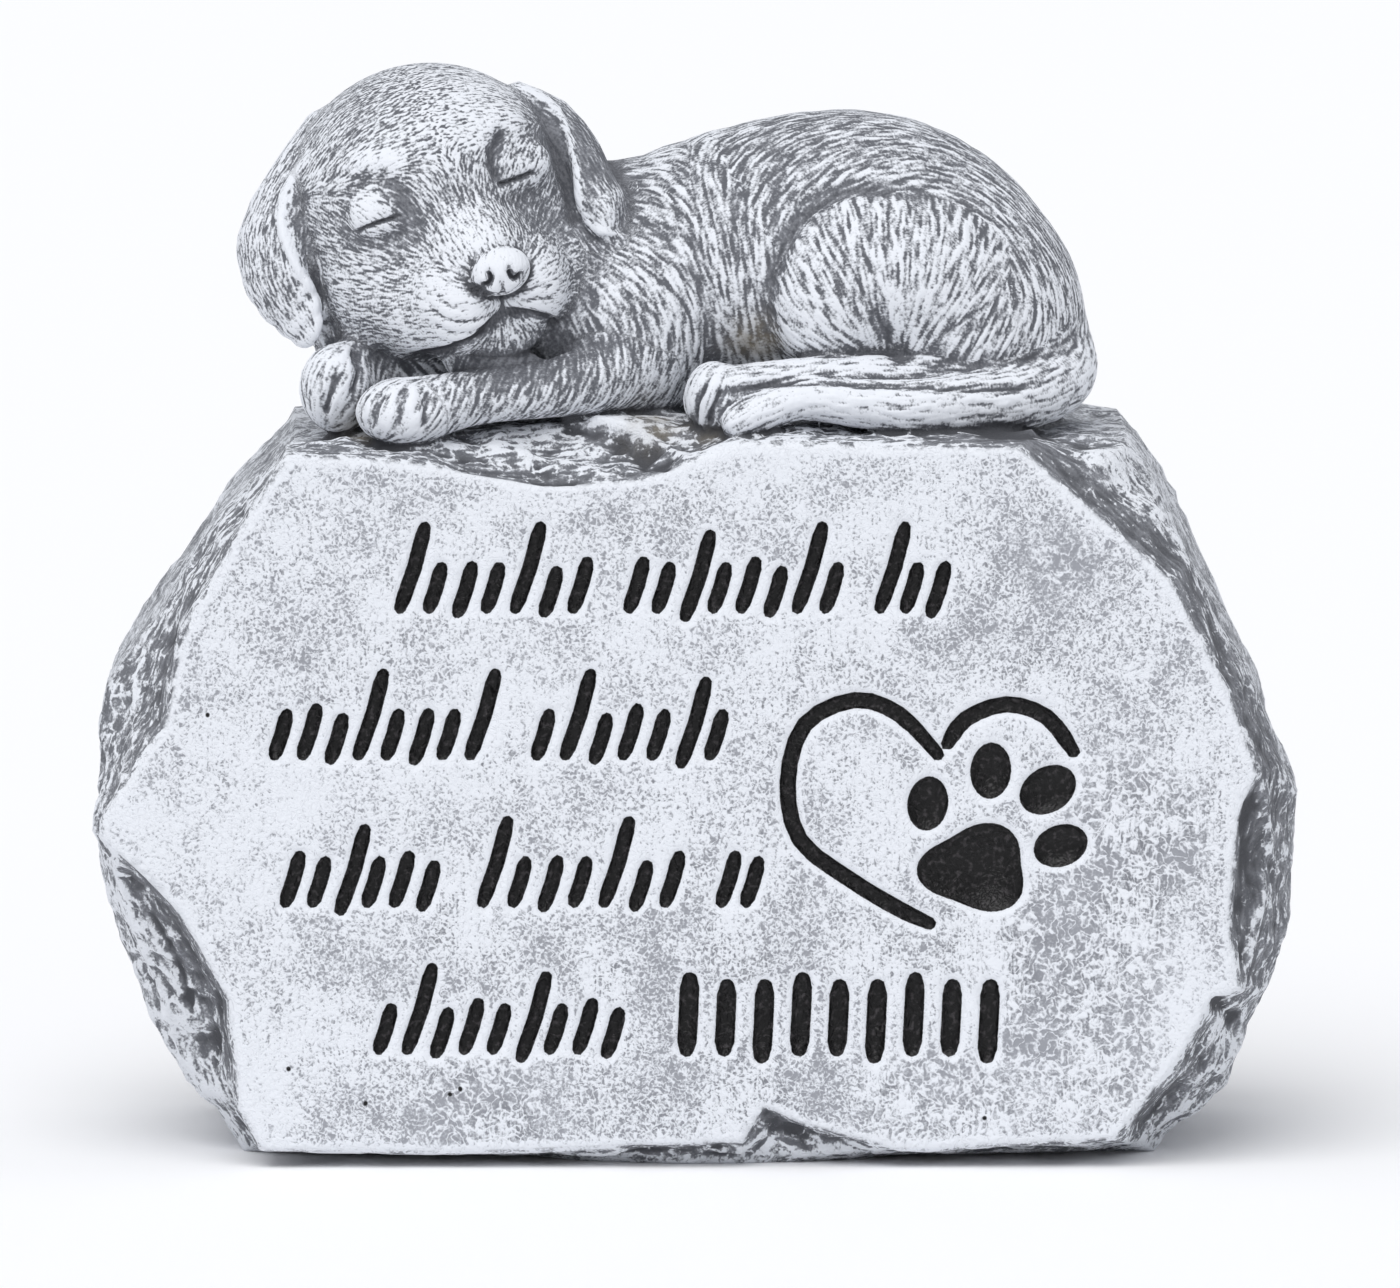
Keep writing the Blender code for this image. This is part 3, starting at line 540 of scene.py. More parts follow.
engravingSetup = {
    "depth": 1.35,
    "strokeWidth": 2.8,
    "strokeSpacing": 5.4,
    "strokeSlant": 17,
    "smallStroke": 8.4,
    "tallStroke": 14.8,
    "boldStrokeWidth": 3.6,
    "boldStroke": 12.8,
    "heartLine": 3.0,
    "motifWidth": 56.5,
    "motifCentre": (43.0, 60.5),
    "rows": [  # foot of the row, then the start and end of each group, in mm
        (103.6, [(-56, -19), (-14, 27), (32, 46)]),
        (76.5, [(-79, -38), (-31, 6)]),
        (49.3, [(-77, -47), (-41, -2), (3, 12)]),
        (22.1, [(-60, -13)]),
    ],
    "boldGroup": (22.1, (-4, 58)),
}
heartLines = [
    [(0.013, 0.285), (-0.110, 0.414), (-0.256, 0.462), (-0.418, 0.382), (-0.473, 0.195), (-0.434, 0.006),
     (-0.272, -0.124), (-0.110, -0.222), (-0.013, -0.268)],
    [(0.045, 0.320), (0.104, 0.400), (0.234, 0.448), (0.366, 0.407), (0.453, 0.294)],
]
pawToes = [
    (-0.019, 0.124, 0.066, 0.089, -8),
    (0.185, 0.231, 0.066, 0.092, -4),
    (0.370, 0.169, 0.098, 0.074, 32),
    (0.412, -0.014, 0.090, 0.068, 20),
]
pawPad = (0.137, -0.088, 0.170, 0.138)


def strokeLines():
    # each stroke as its middle line and its half width
    s = engravingSetup
    lines = []
    rows = [(foot, group, number + 2 * place, False)
            for number, (foot, groups) in enumerate(s["rows"]) for place, group in enumerate(groups)]
    rows.append((s["boldGroup"][0], s["boldGroup"][1], 0, True))
    for foot, (start, end), shift, bold in rows:
        spacing = s["strokeSpacing"] * (1.35 if bold else 1)
        slant = math.radians(s["strokeSlant"] / (6 if bold else 1))
        width = s["boldStrokeWidth"] if bold else s["strokeWidth"]
        count = max(2, round((end - start) / spacing))
        for k in range(count):
            if bold:
                height = s["boldStroke"] * (1 - 0.1 * (k % 3 == 1))
            else:
                turn = k + shift
                height = s["tallStroke"] if turn % 4 == 0 else s["smallStroke"] * (1 - 0.12 * (turn % 2))
            x = start + (end - start) * (k + 0.25) / count
            low = foot - 0.10 * height * (k % 3 == 2)
            lean = math.tan(slant) * height
            lines.append(([(x, low), (x + 0.58 * lean, low + height / 2), (x + lean, low + height)],
                          width / 2))
    for line in heartLines:
        lines.append(([onMotif(point) for point in smoothCurve(line, 3)], s["heartLine"] / 2))
    return lines


def onMotif(point):
    centre = engravingSetup["motifCentre"]
    return tuple(centre[k] + point[k] * engravingSetup["motifWidth"] for k in (0, 1))


def lineDistance(across, up, line, halfWidth):
    # distance in mm to a stroke's edge, negative inside it, narrower at its ends
    result = np.full(len(across), 1e9)
    for number, (start, end) in enumerate(zip(line, line[1:])):
        share, distance = alongSegment(across, up, start, end)
        along = (number + share) / (len(line) - 1)
        full = np.clip(0.78 + 2.0 * np.minimum(along, 1 - along), 0, 1.0)
        result = np.minimum(result, distance - halfWidth * full)
    return result


def engravedDistance(across, up):
    result = np.full(len(across), 8.0)
    for line, halfWidth in strokeLines():
        xs = [p[0] for p in line]
        zs = [p[1] for p in line]
        near = ((across > min(xs) - 8) & (across < max(xs) + 8) & (up > min(zs) - 8) & (up < max(zs) + 8))
        result[near] = np.minimum(result[near], lineDistance(across[near], up[near], line, halfWidth))
    width = engravingSetup["motifWidth"]
    for x, z, halfWidth, halfHeight, lean in pawToes:
        cx, cz = onMotif((x, z))
        turn = math.radians(lean)
        a = (across - cx) * math.cos(turn) + (up - cz) * math.sin(turn)
        b = -(across - cx) * math.sin(turn) + (up - cz) * math.cos(turn)
        radius = np.hypot(a / (halfWidth * width), b / (halfHeight * width))
        result = np.minimum(result, (radius - 1) * min(halfWidth, halfHeight) * width)
    cx, cz = onMotif(pawPad[:2])
    a = (across - cx) / (pawPad[2] * width)
    b = (up - cz) / (pawPad[3] * width)
    bulge = 1 + 0.13 * np.cos(3 * (np.arctan2(b, a) - math.radians(65)))
    return np.minimum(result, (np.hypot(a, b) / bulge - 1) * pawPad[3] * width)


def engraveFace(points, edges, fur):
    # smooths the face over the CAD's straight-sided grooves and presses rounded ones into it
    level = faceY / mm
    near = np.flatnonzero((points[:, 1] < level + engravingSetup["depth"] + 0.4) & (fur < 0.5))
    inside = near[insideFace(points[near, 0], points[near, 2]) > 1.2]
    result = points.copy()
    result[inside, 1] = level
    for turn in range(12):
        result[inside] = relaxed(result, edges, 0.6)[inside]
        result[inside, 1] = level
    distance = engravedDistance(result[inside, 0], result[inside, 2])
    result[inside, 1] += engravingSetup["depth"] * smoothStep(0.3, -0.5, distance)
    return result

# the face's outline in mm, as in the CAD

faceOutline = [
    (-75, 131.5), (-85, 115.5), (-94.5, 97.5), (-97.5, 82), (-109, 65), (-109, 61), (-95, 47),
    (-86, 31), (-84, 11), (-80, 3.5), (-45, 3), (-18, 4), (8, 5), (12, 11.5), (18.5, 8.5), (37, 3.5),
    (76, 5.5), (88, 20.5), (94, 31.5), (99, 33), (97, 45), (98.5, 64.5), (102, 73), (96.5, 88.5),
    (86, 109), (69.5, 123.5), (58.5, 133), (37, 133), (7.5, 133.5), (-11, 127), (-28, 126), (-54, 130.5),
]


def insideFace(across, up):
    # distance in mm to the face's edge, positive inside it
    result = np.full(len(across), 1e9)
    inside = np.zeros(len(across), bool)
    for start, end in zip(faceOutline, faceOutline[1:] + faceOutline[:1]):
        result = np.minimum(result, alongSegment(across, up, start, end)[1])
        (x0, z0), (x1, z1) = start, end
        if z0 != z1:
            inside ^= ((z0 > up) != (z1 > up)) & (across < x0 + (up - z0) * (x1 - x0) / (z1 - z0))
    return np.where(inside, result, -result)

# scoops and ridges on the broken edges, the same way, in mm on the face

brokenLines = {
    "ledge scoop left": ([(-46, 130.6), (-38, 129.6), (-30, 128.2), (-19, 126.9)], 1.9, 1.3, 0.45),
    "ledge ridge left": ([(-48, 133.6), (-38, 133.2), (-27, 130.6), (-18, 129.2)], 0.9, -0.8, 0.3),
    "ledge scoop right": ([(-26, 137.6), (-17, 135), (-10, 131.8), (-4, 128.9)], 1.9, 1.2, 0.5),
    "ledge ridge right": ([(-21, 139), (-11, 136.2), (-2, 131.4)], 0.8, -0.7, 0.3),
    "crack under the foot": ([(2, 139), (14, 138.6), (30, 139.4), (48, 138.2)], 0.7, 0.6, 0.5),
    "dark top corner": ([(50, 136.6), (60, 136.4), (70, 136), (79, 134.8)], 1.5, 1.3, 0.6),
    "left ridge": ([(-101.2, 104), (-102.6, 95), (-104, 84)], 0.7, -0.8, 0.4),
    "left fold": ([(-97.6, 100), (-99.6, 91), (-101, 83)], 1.6, 0.8, 0.3),
    "scallop": ([(-104.6, 57), (-99.6, 47), (-94, 37.5), (-91, 28), (-89.5, 17)], 2.9, 1.6, 0.22),
    "scallop ridge": ([(-107.6, 60), (-106, 51), (-102.2, 41), (-98.4, 30), (-94, 18)], 0.8, -0.9, 0.4),
    "scallop line": ([(-102, 47), (-97, 38), (-93.6, 27)], 0.6, 0.7, 0.4),
    "right facet ridge": ([(103.5, 72), (104.5, 60), (103, 48), (100, 36)], 0.8, -0.8, 0.3),
    "right facet hollow": ([(101, 70), (100.6, 58), (99.6, 46)], 1.6, 1.0, 0.22),
    "notch": ([(94, 31), (96.6, 29.5), (100, 26)], 1.2, 1.1, 0.35),
    "lower right scoop": ([(93, 22), (88, 13), (80, 7)], 2.0, 1.0, 0.25),
    "foot notch": ([(12.6, 8.6), (16.5, 6.4), (21, 3.6)], 1.6, 0.9, 0.3),
    "foot chip": ([(-14, 3.4), (-4, 2.6), (6, 3.4)], 1.2, 1.0, 0.4),
    "foot line left": ([(-78, 1.9), (-50, 1.5), (-22, 1.8)], 0.6, 0.5, 0.5),
    "foot line right": ([(30, 2.0), (52, 1.6), (74, 2.2)], 0.6, 0.5, 0.5),
}
# painted shade in a band on the broken edge next to the face, where it steps back from the face:
# direction round the face and half its spread in degrees, and the amount
paintedShadeBands = [(38, 24, 0.6), (-153, 20, 0.3), (0, 16, 0.25), (-35, 22, 0.25), (165, 12, 0.2)]
faceMiddle = (0, 67.5)
# how much lighter the outer edge is, more so at the upper right, and how much darker the right
edgeShade = {"outer": 0.08, "upperRight": 0.25, "right": 0.35}


def breakEdges(points, normals, fur, edge):
    # carves the broken edges, and says how much grey stays where, with painted shade in bands next to the
    # face
    up = points[:, 2] + riseOfView * (points[:, 1] - faceY / mm)
    depth = points[:, 1] - faceY / mm
    area = (1 - fur) * smoothStep(26, 18, depth) * smoothStep(0.4, -0.6, edge)
    seen = np.flatnonzero(area > 0)
    move = np.zeros(len(points))
    shade = np.zeros(len(points))
    move[seen], shade[seen] = pressLines(points[seen, 0], up[seen], brokenLines, area[seen])
    calm = np.zeros(len(points))
    turn = np.degrees(np.arctan2(up[seen] - faceMiddle[1], points[seen, 0] - faceMiddle[0]))
    band = np.exp(-((edge[seen] + 2.4) / 2.4) ** 2)
    # painted shade along the face's edge, and calmer relief there
    for middle, spread, amount in paintedShadeBands:
        away = np.abs((turn - middle + 180) % 360 - 180)
        dark = amount * band * smoothStep(spread, spread * 0.6, away)
        shade[seen] += dark
        calm[seen] += 1.4 * dark
    outerEdge = smoothStep(8, 14, depth) * smoothStep(32, 20, depth) * (np.abs(normals[:, 2]) < 0.85)
    upperRight = smoothStep(0, 50, points[:, 0]) * smoothStep(75, 95, up)
    rightSide = smoothStep(84, 93, points[:, 0]) * smoothStep(30, 45, up) * smoothStep(105, 95, up)
    rightSide *= smoothStep(0.5, 3, depth) * smoothStep(34, 20, depth)
    shade -= (edgeShade["outer"] + edgeShade["upperRight"] * upperRight) * outerEdge * (1 - fur)
    shade += edgeShade["right"] * rightSide * (1 - fur)
    return points + normals * move[:, None], shade, np.clip(calm, 0, 1)


def brokenWay(points, normals, edge):
    # the striations of the broken edges run along the face's edge, and across on the ledge
    way = np.tile(np.array((0.25, 0.1, 1.0)), (len(points), 1))
    near = np.flatnonzero((edge > -19) & (edge < 1))
    across = points[near, 0]
    up = points[near, 2]
    step = 0.5
    outX = insideFace(across + step, up) - insideFace(across - step, up)
    outZ = insideFace(across, up + step) - insideFace(across, up - step)
    way[near] = np.stack([-outZ, 0.05 * outX, outX], axis=1)
    way[normals[:, 2] > 0.75] = (1, 0.12, 0)
    way -= (way * normals).sum(axis=1)[:, None] * normals
    return way / np.maximum(np.linalg.norm(way, axis=1), 1e-3)[:, None]

# where more or less white is put on, with darker marks that are painted shade under and
# beside the chin and on the right ear, as seen in the front view: x, up, reach, amount

brushAndShadeMarks = [
    (-57, 49, 4, 0.40), (-60.5, 41, 3, 0.22), (-34, 50, 3.5, 0.05), (-37, 30, 4.5, 0.40),
    (-45, 21, 6, 0.25), (-44, 15, 6, 0.15), (-30, 24, 4, 0.15), (-43, 57, 8, 0.26), (-62, 58, 9, -0.08),
    (-44, 35, 5, 0.12), (-52.5, 47.5, 2.5, -0.32), (-55, 42, 3.5, -0.25), (-42, 48.5, 2.5, -0.3),
    (-53, 37.5, 2.6, -0.3), (-57, 31, 4, -0.05), (-66, 40, 3, -0.15), (-62.5, 34.5, 2, -0.2),
    # painted shade: on this line and the next four, the darker marks at x -28.5 beside the chin and from x
    # -28 to -16, up 38 to 56, on the right ear
    (-28.5, 15.5, 3.2, -0.28), (-19, 52, 6, -0.14), (-52, 28, 5, 0.12), (-62, 26, 6, 0.1),
    (-22, 50, 7, -0.2), (-26.5, 50, 3, -0.25), (-18, 44, 5, -0.18),
    (-37.5, 52, 2.4, -0.25), (-31, 38, 5, -0.2), (-58, 17, 7, -0.06), (-38, 11.5, 5, -0.15),
    (-66, 36, 4, -0.08), (-64, 24, 6, -0.08), (-28, 56, 4, -0.3), (-26, 38, 4, -0.2),
    (-80, 24, 6, -0.1), (-72, 30, 3, -0.1), (-24, 55, 6, -0.25), (-19, 47, 4, -0.3), (-16, 40, 4, -0.2),
    # the marks at x -40, -31 and -22 on this line are painted shade under the chin
    (10, 40, 14, -0.1), (-8, 20, 12, -0.05), (-40, 9, 6, -0.3), (-31, 10, 6, -0.42), (-22, 11, 7, -0.36),
    (-67, 6, 6, -0.12), (-56, 1, 5, -0.08), (-14, 14, 7, -0.1), (-50, 58, 12, -0.08),
    (40, 5, 18, 0.12), (22, 7, 10, 0.2), (58, 20, 6, -0.08),
    (20, 53, 12, -0.18), (48, 50, 12, -0.15), (64, 36, 9, -0.1), (-54, 4, 6, 0.08),
]
# the same on the face, in mm on it
faceMarks = [
    (-10, 126, 16, -0.08), (0, 30, 26, -0.06), (60, 40, 22, -0.08), (-45, 12, 26, -0.05), (-40, 88, 16, 0.05),
    (-70, 70, 18, 0.05), (62, 105, 14, -0.10), (15, 15, 18, -0.10), (-88, 60, 14, 0.06), (86, 62, 12, -0.08),
    (90, 34, 8, 0.16), (90, 24, 6, 0.12), (-80, 14, 8, 0.14), (-101, 62, 6, 0.12), (-62, 92, 14, -0.06),
    (5, 137, 12, 0.16), (-28, 134, 12, 0.12), (30, 137, 12, 0.08), (-88, 10, 7, 0.22), (-96, 26, 6, 0.10),
]
# where the face's pattern is coarse, in mm on it: x, z, reach, share
coarseMarks = [(78, 62, 17, 1.0), (70, 34, 22, 1.0), (45, 10, 16, 0.9), (76, 16, 14, 0.8), (-40, 10, 18, 0.7),
               (-60, 36, 14, 0.4), (66, 112, 14, 0.5)]
# brownish dirt in creases: x, y, z in mm from the puppy's zero, and its reach
stainMarks = [(10, -19, 17, 5), (-8, -25, 2, 5), (-62, -24, 1, 4), (2, -30, 0, 3)]


def marked(points, marks):
    total = np.zeros(len(points))
    for *place, reach, amount in marks:
        total += amount * nearPlace(points, place, reach)
    return total

# the statue

meshSetup = {
    "voxel": 0.5,  # mm
    "triangles": 196000,
    "plainWeight": 0.02,  # how much sooner plain places lose triangles
    "nearTurns": 4,  # rounds of smoothing that near hollows are measured against
    "wideTurns": 36,  # and wide ones
    "crackleDepth": 0.10,  # mm, as the next two
    "chipDepth": 1.3,
    "striationDepth": 0.25,
}
crackleSizes = ((0.92, 0.16), (1.9, 0.09))  # mm from ridge to ridge, and how wide the ridges are
brokenSetup = {  # in mm, but the depths and the height are shares of chipDepth
    "bendSize": 6,
    "bend": 7,  # how far the scoops' edges wander
    "largeScoop": 15,
    "largeRim": 0.9,
    "largeDepth": 0.75,
    "smallScoop": 3.6,
    "smallRim": 0.55,
    "smallDepth": 0.16,
    "lumpSize": 13,
    "lumpHeight": 1.9,
}
# the face's pinholes, painted as black dots: painted shade in place of holes
pinholes = [(-89.9, 83.9), (-75.2, 18.4), (-61.1, 12.0), (-43.7, 14.8), (-45.6, 13.6), (52.3, 9.4)]


def copyOfSolid():
    source = bpy.data.objects[nodeName] if nodeName in bpy.data.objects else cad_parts[nodeName]
    bm = bmesh.new()
    bm.from_mesh(source.data)
    bmesh.ops.remove_doubles(bm, verts=bm.verts, dist=1e-6)
    mesh = bpy.data.meshes.new("castStatue")
    bm.to_mesh(mesh)
    bm.free()
    return newItem("castStatue", mesh)


def fineSkin(item):
    remesh = item.modifiers.new("fineSkin", "REMESH")
    remesh.mode = "VOXEL"
    remesh.voxel_size = meshSetup["voxel"] * mm
    remesh.adaptivity = 0
    applyModifiers(item)


def shapePuppy(item):
    # settles the skin on the smooth masses, then carves it
    mesh = item.data
    points, normals, edges = skinOf(mesh)
    origin = np.array(puppySetup["origin"])
    local = points - origin
    parts = bodyParts() + headParts() + earParts()
    area = np.flatnonzero(local[:, 2] > -1.5)
    distance, gradient = slope(local[area], parts)
    steep = np.maximum(np.linalg.norm(gradient, axis=1), 1e-6)
    agrees = (gradient * normals[area]).sum(axis=1) / steep
    isPuppy = smoothStep(0.5, 0.8, agrees) * smoothStep(2.0, 1.2, np.abs(distance))
    isPuppy = np.maximum(isPuppy, smoothStep(6, 7.5, local[area, 2]))  # the stone ends below this
    fur = np.zeros(len(points))
    fur[area] = isPuppy
    mine = area[isPuppy > 0.02]
    weight = fur[mine][:, None]
    for turn in range(4):
        if turn < 3:
            local = np.where(fur[:, None] > 0.5, relaxed(local, edges), local)
        here, gradient = slope(local[mine], parts)
        steep = np.maximum((gradient ** 2).sum(axis=1), 0.2)
        local[mine] -= gradient * np.clip(here / steep, -1.5, 1.5)[:, None] * weight
    owner = np.zeros(len(mine), int)
    puppyDistance(local[mine], parts, owner)
    here, gradient = slope(local[mine], parts)
    skinNormals = gradient / np.maximum(np.linalg.norm(gradient, axis=1), 1e-6)[:, None]
    move, groove = carve(local[mine], skinNormals)
    local[mine] += skinNormals * (move * fur[mine])[:, None]
    way = np.zeros_like(points)
    fineness = np.ones(len(points))
    finer = {"head": puppySetup["headFineness"], "foreleg": puppySetup["legFineness"],
             "ear": puppySetup["earFineness"]}
    fineness[mine] = np.array([finer.get(part["coat"], 1.0) for part in parts])[owner]
    way[mine] = furWay(local[mine], skinNormals, parts, owner) / fineness[mine][:, None] ** 1.5
    carved = np.zeros(len(points))
    carved[mine] = groove
    points = engraveFace(local + origin, edges, fur)
    setPoints(mesh, points * mm)
    return points, fur, way, carved, fineness


def edgeDistance(points, fur):
    # distance in mm inside the face's edge, and negative on the broken edges
    depth = points[:, 1] - faceY / mm
    edge = np.full(len(points), -20.0)
    front = (depth < 26) & (fur < 0.5)
    edge[front] = insideFace(points[front, 0], points[front, 2])
    return np.where(depth > 1.9, np.minimum(edge, -1.0), edge)


def zones(points, fur, shade):
    # the numbers that the relief and the paint need at each point
    across = points[:, 0]
    up = points[:, 2]
    inPuppy = points - np.array(puppySetup["origin"])
    edge = edgeDistance(points, fur)
    engraved = np.full(len(points), 8.0)
    onFace = (points[:, 1] - faceY / mm < 3) & (edge > 0)
    engraved[onFace] = engravedDistance(across[onFace], up[onFace])
    inView = np.stack([across, inPuppy[:, 2] + riseOfView * points[:, 1]], axis=1)
    foot = smoothStep(6, 3.5, up) * smoothStep(0, -0.5, edge)
    # on the puppy some of these marks are painted shade; on the slab the foot strip gets more white, painted
    # light against the shade it lies in near the floor
    brush = 0.5 + marked(inView, brushAndShadeMarks) * fur
    brush += (1 - fur) * (marked(points[:, [0, 2]], faceMarks) + 0.16 * foot)
    coarse = [share * nearPlace(points[:, [0, 2]], place, reach) for *place, reach, share in coarseMarks]
    stain = [nearPlace(inPuppy, place, reach) for *place, reach in stainMarks]
    return {"faceEdge": edge, "engraved": engraved, "brushed": brush, "stain": np.max(stain, axis=0),
            "fur": fur, "shade": shade, "coarseFace": smoothStep(0.25, 0.6, np.max(coarse, axis=0))}


def striations(points, normals):
    # where the broken stone is drawn out in fine lines: ledge, top left strip and foot
    ledge = smoothStep(0.5, 0.8, normals[:, 2])
    strip = smoothStep(-70, -80, points[:, 0]) * smoothStep(92, 104, points[:, 2])
    foot = smoothStep(9, 4, points[:, 2])
    return np.maximum(np.maximum(ledge, strip), np.maximum(foot, 0.3))


def streaks(tree, place, way, fineness):
    # noise averaged along the fur's own direction, so that it runs out into tufts
    total = 0.0
    scale = addNode(tree, "Math", "MULTIPLY", [fineness, 1 / (puppySetup["furCell"] * mm)])
    for step in range(-2, 3):
        shift = step * puppySetup["furStep"] * mm
        moved = addNode(tree, "VectorMath", "MULTIPLY_ADD", [way, (shift, shift, shift), place])
        noise = addNode(tree, "TexNoise", {}, {"Vector": moved, "Scale": scale, "Detail": 0.6})
        total = addNode(tree, "Math", "ADD", [noise, total])
    return addNode(tree, "MapRange", straight, [total, 5 * 0.36, 5 * 0.64])


def crackle(tree, place, coarse):
    # fine worm-like ridges, as a drying slip leaves: noise folded at its middle value,
    # in a fine size and a coarse one
    ridges = []
    for size, width in crackleSizes:
        bend = addNode(tree, "TexNoise", {}, {"Vector": place, "Scale": 1 / (size * mm),
                                              "Detail": 1.0, "Roughness": 0.5, "Distortion": 0.5})
        away = addNode(tree, "Math", "ABSOLUTE", [addNode(tree, "Math", "SUBTRACT", [bend, 0.5])])
        ridges.append(addNode(tree, "MapRange", straight, [away, width, 0.0]))
    return addNode(tree, "Mix", {}, {0: coarse, 2: ridges[0], 3: ridges[1]})


def scoops(tree, place, size, rim):
    # shallow scoops between thin raised rims: how deep, and how near a rim
    cells = addNode(tree, "TexVoronoi", {"feature": "DISTANCE_TO_EDGE"},
                    {"Vector": place, "Scale": 1 / (size * mm)}, "Distance")
    depth = addNode(tree, "MapRange", soft, [cells, 0.0, 0.35])
    return depth, addNode(tree, "MapRange", soft, [cells, rim / size, 0.15 * rim / size])


def brokenStone(tree, place):
    # lumps with large and small scoops in them: the height and the rims
    s = brokenSetup
    bend = addNode(tree, "TexNoise", {}, {"Vector": place, "Scale": 1 / (s["bendSize"] * mm),
                                          "Detail": 2.0}, 1)
    bend = addNode(tree, "VectorMath", "SUBTRACT", [bend, (0.5, 0.5, 0.5)])
    moved = addNode(tree, "VectorMath", "MULTIPLY_ADD", [bend, (s["bend"] * mm,) * 3, place])
    largeDepth, largeRim = scoops(tree, moved, s["largeScoop"], s["largeRim"])
    smallDepth, smallRim = scoops(tree, moved, s["smallScoop"], s["smallRim"])
    lumps = addNode(tree, "TexNoise", {}, {"Vector": place, "Scale": 1 / (s["lumpSize"] * mm),
                                           "Detail": 5.0, "Roughness": 0.55})
    height = added(tree, 0, [(largeDepth, -s["largeDepth"]), (smallDepth, -s["smallDepth"])],
                   [(lumps, s["lumpHeight"])])
    return height, addNode(tree, "Math", "MAXIMUM", [largeRim, smallRim])


def addRelief(item):
    # moves the skin by fur, crackle and broken stone; the paint reads the same patterns
    tree = bpy.data.node_groups.new("stoneRelief", "GeometryNodeTree")
    for way in ("INPUT", "OUTPUT"):
        tree.interface.new_socket("Geometry", in_out=way, socket_type="NodeSocketGeometry")
    add = partial(addNode, tree)
    place, way = [add("GeometryNodeInputNamedAttribute", {"data_type": "FLOAT_VECTOR"}, {"Name": name})
                  for name in ("rest", "furWay")]
    fineness, coarse, furRelief, faceRelief, chipRelief = [
        add("GeometryNodeInputNamedAttribute", {"data_type": "FLOAT"}, {"Name": name})
        for name in ("fineness", "coarseFace", "furRelief", "faceRelief", "chipRelief")]
    tufts = add("Math", "SUBTRACT", [streaks(tree, place, way, fineness), 0.6])
    height = added(tree, 0, [(tufts, furRelief), (crackle(tree, place, coarse), faceRelief),
                             (brokenStone(tree, place)[0], chipRelief)])
    offset = add("VectorMath", "SCALE", {0: add("GeometryNodeInputNormal"), "Scale": height})
    moved = add("GeometryNodeSetPosition", {}, {"Geometry": add("NodeGroupInput"), "Offset": offset})
    add("NodeGroupOutput", {}, [moved])
    item.modifiers.new("relief", "NODES").node_group = tree
    applyModifiers(item)


def fewerFaces(item, plain):
    group = item.vertex_groups.new(name="plainSkin")
    levels = np.round(np.clip(plain, 0, 1) * 10).astype(int)
    for level in range(1, 11):
        group.add(np.flatnonzero(levels == level).tolist(), level / 10, "REPLACE")
    count = 2 * len(item.data.polygons)
    decimate = item.modifiers.new("fewerFaces", "DECIMATE")
    decimate.ratio = min(1.0, meshSetup["triangles"] / count)
    decimate.vertex_group = group.name
    decimate.vertex_group_factor = meshSetup["plainWeight"]
    applyModifiers(item)


def dropSpecks(item):
    # keeps the one closed skin and deletes loose specks beside it
    bm = bmesh.new()
    bm.from_mesh(item.data)
    crown = max(bm.verts, key=lambda vert: vert.co.z)
    skin = {crown}
    border = [crown]
    while border:
        for edge in border.pop().link_edges:
            for vert in edge.verts:
                if vert not in skin:
                    skin.add(vert)
                    border.append(vert)
    bmesh.ops.delete(bm, geom=[vert for vert in bm.verts if vert not in skin], context="VERTS")
    bm.to_mesh(item.data)
    bm.free()


def storeHollows(item):
    # how far each point lies below the smoothed skin round it, near and far
    mesh = item.data
    points, normals, edges = skinOf(mesh)
    smooth = points
    for turn in range(meshSetup["wideTurns"]):
        smooth = relaxed(smooth, edges, 0.8)
        if turn == meshSetup["nearTurns"] - 1:
            storeAttribute(mesh, "hollowNear", ((smooth - points) * normals).sum(axis=1))
    storeAttribute(mesh, "hollowWide", ((smooth - points) * normals).sum(axis=1))


